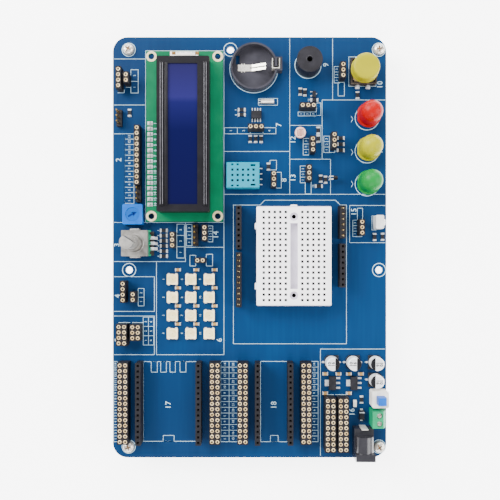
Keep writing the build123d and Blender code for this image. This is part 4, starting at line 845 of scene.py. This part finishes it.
class BOARD_OT_screws(bpy.types.Operator):
    """Turn the corner screws and cut their cross recess"""
    bl_idname = "board.screws"
    bl_label = "Corner screws"

    def execute(self, context):
        screw = lathe([(1.3, -5.9), (1.44, -5.6), (1.44, 0.0), (2.62, 0.0), (2.7, 0.15), (2.68, 0.7),
                       (2.45, 1.35), (2.0, 1.85), (1.4, 2.1), (0.7, 2.19), (0.05, 2.2)], 32)
        carve(screw, block(2.9, 0.62, 2.0, (0, 0, 1.05), 0))
        carve(screw, block(0.62, 2.9, 2.0, (0, 0, 1.05), 0))
        # the faces in the driver recess are coloured darker and browner than the head
        darkened = finish("steel, bared in the driver recess", "#b98f62", "#8f6a45", 0.2, 0.01, 1.0,
                       (0.3, 0.45), metallic=0.6)
        coat_where(coat(screw, bright_steel(), darkened), 1,
                   lambda c, n: c.xy.length < 1.46 and 1.0 < c.z < 1.75)
        made = copies(screw, [turned_at(place, 0, turn)
                              for place, turn in zip(CORNER_SCREWS, (20, 62, 35, 8))])
        settle(together(made), "pan_screws", stands_for=("corner_screws",))
        return {"FINISHED"}


class BOARD_OT_breadboard(bpy.types.Operator):
    """Mould the breadboard with its contact holes, channel and screw wells"""
    bl_idname = "board.breadboard"
    bl_label = "Breadboard"

    def execute(self, context):
        white = finish("ABS, moulded white", "#fffdff", "#f6f3f7", 0.4, 0.01, 10.0, (0.35, 0.48), ior=1.53)
        grey = finish("ABS, shaded floor of the channel", "#cfc9d6", "#bdb6c4", 0.4, 0.01, 6.0, (0.4, 0.5))
        slab = block(34.6, 46.0, 8.6, (0, 0, 0.8), 0.45, 2)
        hole = block(1.12, 1.12, 3.0, edge=0)
        columns = [sign * (3.81 + PITCH * k) for sign in (-1, 1) for k in range(5)]
        holes = [Matrix.Translation((mm(x), mm(PITCH * row), mm(6.9)))
                 for x in columns for row in range(-8, 9)]
        carve(slab, together(copies(hole, holes)))
        carve(slab, block(3.4, 30.3, 3.0, (0, 0, 7.4), 0))
        for side in (-1, 1):
            for rings, sides in (([(1.75, 8.6), (1.75, 9.0), (1.95, 9.5)], 24),
                                 ([(1.0, 4.0), (1.0, 9.0)], 20)):
                carve(slab, carry(lathe(rings, sides), Matrix.Translation((0, mm(side * 18.2), 0))))
        # painted shade: faces down in the channel and round the screw wells' mouths take the greyer white,
        # the other inner faces of the holes and wells a near black
        coat(slab, white, grey, hidden_dark())
        for face in slab.data.polygons:
            x, y, z = face.center * 1000
            inside = abs(x) < 17 and abs(y) < 22.8 and 1.2 < z < 9.37
            channel = abs(x) < 1.75 and abs(y) < 15.3 or abs(x) < 2.0 and z >= 8.5
            face.material_index = (1 if channel else 2) if inside else 0
        # moulded keys that join one breadboard to the next
        keys = [block(1.0, 2.8, 7.4, (-17.5, y, 0.9), 0.2) for y in (14.0, -14.0)]
        keys.append(block(3.0, 1.0, 7.4, (0, 23.3, 0.9), 0.2))
        slab = together([slab] + [coat(key, white) for key in keys])
        settle(carry(slab, at(BREADBOARD)), "breadboard_moulding",
               stands_for=("breadboard_block",))
        return {"FINISHED"}


def chip(length, width, height, body):
    """A chip: ceramic body, two metal ends and a solder fillet at each"""
    parts = [coat(block(length * 0.66, width * 0.98, height, (0, 0, 0.04), 0.04), body)]
    for side in (-length, length):
        parts += [coat(end, tin()) for end in (
            block(length * 0.17, width, height + 0.05, (side * 0.415, 0, 0), 0.06),
            block(length * 0.16, width * 1.12, height * 0.4, (side * 0.52, 0, 0), 0.1))]
    return together(parts)


class BOARD_OT_chips(bpy.types.Operator):
    """Make the chip resistors and capacitors with their metal ends and solder"""
    bl_idname = "board.chips"
    bl_label = "Chips"

    def execute(self, context):
        tan = finish("barium titanate ceramic, fired", "#a8834f", "#8f6c3d", 0.3, 0.01, 1.5, (0.4, 0.5))
        places = [at(place) for place in CHIPS_ACROSS] + [turned_at(place, 0, 90) for place in CHIPS_ALONG]
        settle(together(copies(chip(3.2, 1.6, 0.6, chip_black()), places)), "resistor_chips",
               stands_for=("chip_resistors",))
        small = repeat(chip(2.3, 1.4, 1.05, tan), SMALL_CHIPS)
        by_pixel = repeat(chip(2.3, 1.3, 1.05, tan), [(x + 2.55, y + 4.5) for x, y in PIXELS])
        settle(together([small, by_pixel]), "capacitor_chips",
               stands_for=("chip_capacitors",))
        return {"FINISHED"}


class BOARD_OT_pixels(bpy.types.Operator):
    """Build the twelve colour pixels with their window, notch and pads"""
    bl_idname = "board.pixels"
    bl_label = "Colour pixels"

    def execute(self, context):
        white = finish("PPA, moulded white", "#fff0ca", "#f5deac", 0.4, 0.01, 2.0, (0.36, 0.5), ior=1.53)
        body = carve(block(5.1, 5.0, 1.55, (0, 0, 0.05), 0.12), lathe([(1.95, 1.2), (2.15, 1.8)], 24))
        for side in (-1, 1):
            carve(body, block(0.9, 0.5, 2.4, (0.9 * side, side * 2.62, -0.2), 0))
        window = lathe([(2.0, 1.2), (2.0, 1.36), (1.6, 1.42), (0.1, 1.44)], 24)
        die = finish("gallium nitride die under silicone", "#d8c49a", "#c2ab7c", 0.2, 0.01, 0.5)
        parts = [coat(body, white), coat(window, cream_resin()),
                 coat(block(0.5, 0.5, 0.08, (0.1, 0.1, 1.4), 0.02), die)]
        parts += [coat(block(1.0, 0.7, 0.35, (sx * 1.75, sy * 2.6, 0)), tin()) for sx, sy in QUARTERS]
        settle(repeat(together(parts), PIXELS), "pixels", stands_for=("pixel_lamps",))
        return {"FINISHED"}


class BOARD_OT_display(bpy.types.Operator):
    """Detail the display: bezel beads, tracks, pads, solder and the backlight's end"""
    bl_idname = "board.display"
    bl_label = "Display"

    def execute(self, context):
        black = painted_steel()
        highlit = finish("steel strip, paint worn along a bead", "#8d8c92", "#6c6b71", 0.3, 0.01, 2.0,
                      (0.3, 0.42), metallic=0.4)
        bezel_top = top_of("display_bezel")
        beads = []
        for x in (-40.75, -39.7, -20.75, -19.75):
            beads.append(coat(block(0.75, 66.0, 0.26, (x, 51.7, 0), 0.12, 2), black))
            # painted highlight: a lighter grey strip along each bead's crest
            beads.append(coat(block(0.2, 64.6, 0.08, (x, 51.7, 0.2), 0.03), highlit))
        # the window's folded inner edge
        beads.append(coat(block(1.4, 65.0, 0.6, (-38.1, 51.7, -0.52), 0.15, 2), black))
        settle(carry(together(beads), at(height=bezel_top - 0.1)), "bezel_beads")
        top = top_of("display_board")
        dark = finish("green solder mask over copper, cured", "#003821", "#00301c", 0.3, 0.01, 4.0,
                      (0.3, 0.4))
        # a known fault: the bar is 1 mm and not 1 m long, so the tracks are specks too small to see
        bar = coat(block(1, 1, 1, edge=0), dark)
        lift = Matrix.Translation((0, 0, mm(top)))
        tracks = copies(bar, [lift @ bar_between(*line, mm(0.34), mm(0.03))
                              for line in straights(DISPLAY_TRACKS)])
        settle(together(tracks), "display_tracks", smooth=0)
        cream = finish("copper pad, tinned", "#eddfc0", "#d6c397", 0.3, 0.02, 1.0, (0.3, 0.4), metallic=0.5)
        pad = coat(hoop([(1.45, 0), (1.45, 0.04), (2.5, 0.04), (2.5, 0)], 24), cream)
        corners = [(x, y) for y in (89.5, 14.5) for x in (-46.1, -14.9)]
        settle(repeat(pad, corners, top), "display_pads", smooth=0)
        land = coat(block(2.5, 1.75, 0.12, (0.2, 0, 0), 0.05), tin())
        cone = coat(lathe([(0.95, 0.1), (0.7, 0.4), (0.42, 0.8), (0.4, 0.82)], 10), tin())
        stub = coat(lathe([(0.36, 0.8), (0.34, 1.1), (0.05, 1.14)], 8), bright_steel())
        settle(repeat(together([land, cone, stub]), DISPLAY_PINS, top), "display_joints")
        made = [carry(coat(numeral(str(16 - k), 1.3), white_print()),
                      turned_at((x + 2.6, y), top + PRINT_LIFT, 90))
                for k, (x, y) in enumerate(DISPLAY_PINS)]
        settle(together(made), "display_numerals", smooth=0)
        flux = finish("solder flux, browned", "#8d6a3c", "#6d4f2a", 0.4, 0.02, 0.8)
        parts = [coat(block(1.6, 0.9, 0.35, (x, 90.4, 0), 0.15, 2), tin())
                 for x in (-33.5, -31.2, -28.4, -26.2)]
        parts += [coat(block(1.7, 1.4, 0.25, (x, 90.2, 0)), flux) for x in (-35.3, -24.4)]
        parts.append(coat(block(9.0, 1.2, 0.5, (-29.8, 89.6, 0), 0.2, 2), light_guide()))
        height = min(top_of("display_backlight"), top + 2.4) - 0.05
        settle(carry(together(parts), at(height=height)), "backlight_end")
        return {"FINISHED"}


# runs of the tracks on the display's board
DISPLAY_TRACKS = [
    (-42.8, 88.2, -44.4, 86.0, -44.4, 62.0, -43.6, 60.6), (-42.4, 87.4, -43.6, 86.0, -43.6, 62.0),
    (-18.2, 86.0, -16.6, 84.0, -16.6, 70.0, -17.4, 69.0), (-18.4, 85.0, -17.4, 84.0, -17.4, 70.0),
    (-40.0, 15.0, -37.5, 12.9, -23.5, 12.9, -21.0, 15.0),
    (-39.0, 15.4, -37.2, 13.8, -23.8, 13.8, -22.0, 15.4), (-44.6, 56.0, -44.6, 20.0),
    (-16.2, 60.0, -16.2, 22.0),
]


class BOARD_OT_joints(bpy.types.Operator):
    """Solder the through pins under the board"""
    bl_idname = "board.joints"
    bl_label = "Solder joints"

    def execute(self, context):
        joint = coat(lathe([(0.85, 0), (0.6, -0.35), (0.3, -0.9), (0.05, -1.1)], 6), tin())
        places = groups(SHIELD_SOCKETS + CONTROLLER_SOCKETS + CONTROLLER_STRIPS + POWER_STRIPS
                        + MODULE_STRIPS + PIN_HEADERS) + DISPLAY_PINS
        # lamps, then terminal block, jack and buzzer
        places += [(55.6 + side * 1.27, y) for side in (-1, 1) for y in (61.6, 45.9, 30.2)]
        places += [(60.1, -78.15), (60.1, -81.85), (53.4, -86.0), (53.4, -92.0), (27.8, 83.6), (27.8, 89.6)]
        settle(repeat(joint, places, BOARD_UNDER - BOARD_TOP), "solder_joints")
        return {"FINISHED"}


class BOARD_OT_small_parts(bpy.types.Operator):
    """Add the legs, tabs, elements and marks of the small parts"""
    bl_idname = "board.small_parts"
    bl_label = "Small parts"

    def execute(self, context):
        # photo cell: a brown serpentine printed on the pale disc
        track = finish("cadmium sulphide, printed", "#8a5140", "#6f3c2e", 0.2, 0.01, 0.8, (0.4, 0.5))
        bars = [block(0.32, 3.4 - 0.35 * abs(k), 0.1, (k * 0.62, 0, 3.46), 0.03) for k in range(-2, 3)]
        bars += [block(0.9, 0.32, 0.1, (k * 0.62 + 0.31, (1.5 if k % 2 else -1.5), 3.46), 0.03)
                 for k in range(-2, 2)]
        settle(carry(coat(together(bars), track), at((23.9, 54.0))), "photo_cell_track")
        # clock chip legs: formed and tinned
        leg = coat(strip([(0, 0.85), (0.35, 0.85), (0.6, 0.15), (1.15, 0.12)], 0.42, 0.16), tin())
        legs = copies(leg, [turned_at((3.2 + (k - 1.5) * 1.27, 62.9 + side * 1.9), 0, 90 * side)
                            for k in range(4) for side in (-1, 1)])
        settle(together(legs), "clock_legs")
        # buzzer: label groove and port rim on the moulded top
        rims = [hoop([(1.25, 9.2), (1.3, 9.56), (1.6, 9.56), (1.75, 9.48)], 24),
                hoop([(5.3, 9.45), (5.4, 9.54), (5.8, 9.54), (5.95, 9.4)], 48)]
        settle(carry(coat(together(rims), phenolic()), at(BUZZER)), "buzzer_rims")
        # encoder: green wafer with three tinned terminals
        wafer = block(2.0, 12.2, 0.9, (-47.4, 1.85, 3.0))
        for y in (6.4, 3.1, 0.6, -2.6):
            carve(wafer, block(1.0, 1.3, 2.0, (-46.6, y, 2.5), 0))
        coat(wafer, finish("paper laminate, punched", "#0e7c5a", "#0a6b4c", 0.3, 0.01, 2.0, (0.4, 0.5)))
        tails = [coat(block(2.4, 1.2, 0.5, (-45.7, y, 3.2), 0.15, 2), tin()) for y in (4.4, 1.9, -0.6)]
        settle(carry(together([wafer] + tails), at()), "encoder_wafer")
        # encoder frame: the pressed collar and thread round the bushing, and folded tabs
        axis = middle_of("encoder_shaft")
        parts = [carry(hoop([(3.7, -0.1), (3.7, 0.3), (3.9, 0.45), (4.3, 0.45), (4.5, 0.3), (4.5, -0.1)], 40),
                       at(axis, 6.6))]
        parts += copies(hoop([(3.4, 0), (3.62, 0.3), (3.4, 0.6)], 40),
                        [at(axis, 7.7 + 0.9 * k) for k in range(6)])
        low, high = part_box("encoder_frame")
        x = middle_of("encoder_frame")[0]
        for y in (high[1] * 1000 - 0.15, low[1] * 1000 + 0.15):
            parts.append(carry(block(4.8, 1.4, 4.4, (x, y, 1.4), 0.6, 3), at()))
        settle(coat(together(parts), die_cast()), "encoder_tabs")
        # painted shade: a thin dark sheet on the flat cut into the shaft by milling stands for the shadow on
        # its wall
        flat = coat(block(0.06, 5.1, 6.85, (1.53, 0, 0), 0),
                    finish("aluminium, milled flat", "#5d5b59", "#454341", 0.15, 0.01, 1.5, (0.3, 0.42),
                           metallic=0.5))
        settle(carry(flat, turned_at(axis, 19.6, 57)), "shaft_flat", body="encoder_spindle",
               smooth=0)
        # transistor: two legs on one side, one on the other
        legs = [block(0.9, 0.5, 0.25, (30.5 + x, 73.0 + y, 0), 0.08)
                for x, y in ((-1.15, 0.95), (-1.15, -0.95), (1.15, 0))]
        settle(carry(coat(together(legs), tin()), at()), "transistor_legs")
        # painted shade: a near-black sheet deep in the humidity case's vents
        x, y = middle_of("humidity_case")
        vents = [(x + i * 2.47, y + j * 2.47) for i in range(-2, 3) for j in (-1, 0, 1)]
        settle(repeat(coat(block(0.97, 0.97, 0.5, edge=0), hidden_dark()), vents,
                      top_of("humidity_case") - 0.85), "humidity_vents", smooth=0)
        # terminal screws: cheese heads with a driver slot
        for name, turn in (("north", 24), ("south", -12)):
            node = "terminal_screw_" + name
            foot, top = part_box(node)[0][2] * 1000 - BOARD_TOP, top_of(node)
            screw = lathe([(0.75, foot), (0.8, foot + 0.2), (0.8, top - 1.3), (1.2, top - 1.3),
                           (1.23, top - 1.2), (1.23, top - 0.15), (1.1, top), (0.05, top)], 24)
            carve(screw, block(2.8, 0.5, 1.0, (0, 0, top - 0.6), 0))
            settle(carry(coat(screw, bright_steel()), turned_at(middle_of(node), 0, turn)),
                   "slotted_screw_" + name, body="clamp_screw_" + name,
                   stands_for=(node,))
        # trimmer: painted shade, an arrow of darker blue laid in the disc's arrow well
        shaft = block(3.2, 0.8, 0.08, (-0.7, 0, 0), 0.02)
        head = carry(lathe([(1.35, 0.0), (1.35, 0.08)], 3), Matrix.Translation((mm(1.2), 0, 0)))
        arrow = coat(together([shaft, head]),
                     finish("PBT, shaded in the arrow's well", "#022a78", "#01205e", 0.3, 0.01, 1.0))
        settle(carry(arrow, turned_at((-54.9, 15.4), top_of("trimmer_rotor") - 0.35, 28)),
               "trimmer_arrow", body="trimmer_wiper", smooth=0)
        # diode band
        band = coat(block(2.3, 0.5, 0.08, (53.2, -78.2, 2.05), 0.02),
                    finish("marking lacquer, grey", "#b9bcc0", "#a4a7ab", 0.3, 0.01, 1.0))
        settle(carry(band, at()), "diode_band", smooth=0)
        return {"FINISHED"}


def node_finishes():
    """Each carried-over solid's finish: what it is made of and how it was made.

    To the eye the moulded plastics drift faintly over a few millimetres under a dry gloss, the
    turned and drawn metals streak along their axis, and the stamped ones keep an even satin.
    """
    shared = {
        board_enamel(): ["main_board"],
        painted_steel(): ["display_bezel"],
        display_pane(): ["display_glass"],
        light_guide(): ["display_backlight"],
        potted_black(): ["display_driver_blobs", "thermistor_bead"],
        die_cast(): ["encoder_frame"],
        tin(): ["encoder_terminals", "component_leads"],
        spring_steel(): ["cell_fork", "cell_clip", "terminal_cage_north", "terminal_cage_south",
                         "jack_contacts"],
        chip_black(): ["clock_chip", "power_chips"],
        bright_steel(): ["clock_crystal", "terminal_screw_north", "terminal_screw_south"],
        phenolic(): ["buzzer_case"],
        warm_black(): ["button_base", "button_stem"],
        socket_black(): ["shield_sockets", "controller_sockets", "controller_strips", "power_strips",
                         "module_strips", "pin_headers"],
    }
    own = {
        "corner_standoffs": finish(
            "brass bar, turned and nickel free", "#c9a24f", "#a98238", 0.2, 0.01, 4.0, (0.25, 0.38),
            stretch=(1, 1, 8), metallic=1.0),
        "display_board": finish(
            "solder mask, green on glass laminate", "#006441", "#005a3a", 0.4, 0.01, 8.0, (0.3, 0.42),
            ior=1.5),
        "trimmer_body": finish(
            "PBT, moulded blue", "#005ab4", "#0050a2", 0.35, 0.012, 4.0, (0.34, 0.46), ior=1.55),
        "trimmer_rotor": finish(
            "PBT, moulded deep blue", "#0052a6", "#004892", 0.35, 0.012, 3.0, (0.34, 0.46)),
        "encoder_housing": finish("phenolic, moulded brown black", "#3a3734", "#2b2826", 0.3, 0.012, 3.0),
        "encoder_rotor": finish("nylon, moulded white", "#e9e6df", "#d7d3cb", 0.4, 0.01, 3.0),
        "encoder_shaft": finish(
            "aluminium, turned", "#bcb9b5", "#96938f", 0.15, 0.012, 3.0, (0.24, 0.36), stretch=(1, 1, 7),
            metallic=0.6),
        "cell_holder": finish(
            "PBT, moulded charcoal", "#38373e", "#2c2b32", 0.35, 0.012, 6.0, (0.3, 0.42), ior=1.55),
        "humidity_case": finish(
            "ABS, moulded cyan", "#0a869d", "#087c92", 0.35, 0.012, 5.0, (0.36, 0.5), ior=1.53),
        "humidity_element": finish("sensor laminate, dark", "#123a46", "#0c2a33", 0.3, 0.01, 2.0),
        "button_cover": finish(
            "tinplate, stamped beige", "#cdb48c", "#b79b70", 0.3, 0.01, 3.0, (0.3, 0.42), metallic=0.5),
        "light_sensor": finish(
            "alumina, pressed and lacquered", "#e6bfb4", "#d2a497", 0.3, 0.01, 1.5, (0.25, 0.36), coat=0.5),
        "infrared_receiver": finish(
            "tinplate, folded", "#f2f2f0", "#dcdcd8", 0.3, 0.01, 2.5, (0.25, 0.4), metallic=0.35),
        "breadboard_pad": finish("foam tape, die cut", "#e9e4d6", "#d8d2c1", 0.4, 0.05, 3.0, (0.7, 0.85)),
        "header_pins": finish(
            "brass wire, drawn and gilded", "#d9b566", "#bd9648", 0.2, 0.005, 1.5, (0.2, 0.32),
            stretch=(1, 1, 6), metallic=1.0),
        "status_lamp": finish("epoxy, cast water white", "#eceae0", "#d8d6c8", 0.4, 0.01, 1.0, (0.2, 0.3)),
        "capacitor_bases": finish("PPS, moulded black", "#26262a", "#1b1b1f", 0.3, 0.012, 2.0, (0.4, 0.52)),
        "switch_housing": finish(
            "nylon, moulded white", "#fbfbfd", "#ededf1", 0.4, 0.01, 5.0, (0.36, 0.48)),
        "switch_plunger": finish("ABS, moulded azure", "#0058b4", "#004ea2", 0.4, 0.01, 4.0, (0.32, 0.44)),
        "terminal_housing": finish(
            "PA66, moulded green", "#0a875a", "#087c52", 0.35, 0.012, 4.0, (0.34, 0.46), ior=1.53),
        "jack_housing": finish(
            "PBT, moulded glossy black", "#2c2b30", "#202024", 0.35, 0.01, 5.0, (0.16, 0.26), shine=0.5),
    }
    own.update({node: material for material, nodes in shared.items() for node in nodes})
    return own


class BOARD_OT_dress(bpy.types.Operator):
    """Give every carried-over solid its finish"""
    bl_idname = "board.dress"
    bl_label = "Dress the solids"

    def execute(self, context):
        for name, material in node_finishes().items():
            coat(bpy.data.objects[name], material)
        return {"FINISHED"}


# Stage: each light's name, place and size in metres, and power in watts
LIGHTS = [
    ("key_light", (-0.85, 0.5, 0.75), 0.7, 38.0), ("fill_light", (0.95, -0.2, 0.7), 0.9, 21.0),
    ("back_light", (0.1, 1.0, 0.8), 0.8, 20.0), ("front_light", (-0.1, -1.0, 0.8), 0.8, 15.0),
]
WORLD_LIGHT = 0.5
FLOOR_GLOW = 4.0
CAMERA_HEIGHT = 300
LENS = 45.4
LENS_SHIFT = 0.024


class BOARD_OT_stage(bpy.types.Operator):
    """Lay the pale floor, the soft lights and the camera above the board"""
    bl_idname = "board.stage"
    bl_label = "Stage"

    def execute(self, context):
        bpy.ops.object.select_all(action="DESELECT")
        bpy.ops.mesh.primitive_grid_add(x_subdivisions=8, y_subdivisions=8, size=4.0, location=(0, 0, 0))
        floor = bake(context.object)
        floor.name = "floor"
        coat(floor, finish("seamless paper, white", "#ffffff", "#fdfdfd", 2.0, 0.01, 300.0, (0.85, 0.95),
                           lit=FLOOR_GLOW, lit_colour=(1, 1, 1, 1)))
        for name, place, size, power in LIGHTS:
            bpy.ops.object.light_add(type="AREA", location=place)
            light = context.object
            light.name = name
            light.data.size = size
            light.data.energy = power
            light.rotation_euler = (-Vector(place)).to_track_quat("-Z", "Y").to_euler()
        world = bpy.data.worlds.new("studio")
        context.scene.world = world
        world.use_nodes = True
        sky = world.node_tree.nodes["Background"].inputs
        sky["Color"].default_value = (1, 1, 1, 1)
        sky["Strength"].default_value = WORLD_LIGHT
        bpy.ops.object.camera_add(location=(mm(0.2), mm(-7.0), mm(BOARD_TOP + CAMERA_HEIGHT)),
                                  rotation=(0, 0, 0))
        camera = context.object
        camera.data.lens = LENS
        camera.data.sensor_width = 36.0
        camera.data.shift_y = LENS_SHIFT
        camera.data.clip_start = 0.01
        context.scene.camera = camera
        return {"FINISHED"}


OPERATORS = [
    BOARD_OT_dress, BOARD_OT_print, BOARD_OT_numerals, BOARD_OT_contacts, BOARD_OT_lamps,
    BOARD_OT_button, BOARD_OT_cans, BOARD_OT_screws, BOARD_OT_breadboard, BOARD_OT_chips,
    BOARD_OT_pixels, BOARD_OT_display, BOARD_OT_joints, BOARD_OT_small_parts, BOARD_OT_stage,
]


class BOARD_PT_dressing(bpy.types.Panel):
    """Sidebar list of the dressing steps and their settings"""
    bl_idname = "BOARD_PT_dressing"
    bl_label = "Teaching board"
    bl_space_type = "VIEW_3D"
    bl_region_type = "UI"
    bl_category = "Board"

    def draw(self, context):
        column = self.layout.column()
        for group in ("board_look", "print_sizes", "contact_sizes", "lamp_look"):
            settings = getattr(context.scene, group)
            for key in settings.bl_rna.properties.keys():
                if key not in ("rna_type", "name"):
                    column.prop(settings, key)
        for operator in OPERATORS:
            column.operator(operator.bl_idname)


GROUPS = {"board_look": BoardLook, "print_sizes": PrintSizes, "contact_sizes": ContactSizes,
          "lamp_look": LampLook}


def register():
    """Register the settings, the operators and the panel"""
    for name, group in GROUPS.items():
        bpy.utils.register_class(group)
        setattr(bpy.types.Scene, name, PointerProperty(type=group))
    for operator in OPERATORS:
        bpy.utils.register_class(operator)
    bpy.utils.register_class(BOARD_PT_dressing)


def unregister():
    """Take them away again"""
    bpy.utils.unregister_class(BOARD_PT_dressing)
    for operator in reversed(OPERATORS):
        bpy.utils.unregister_class(operator)
    for name, group in GROUPS.items():
        delattr(bpy.types.Scene, name)
        bpy.utils.unregister_class(group)


def main():
    """Dress the board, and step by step"""
    register()
    for operator in OPERATORS:
        area, name = operator.bl_idname.split(".")
        getattr(getattr(bpy.ops, area), name)()


if __name__ == "__main__":
    main()
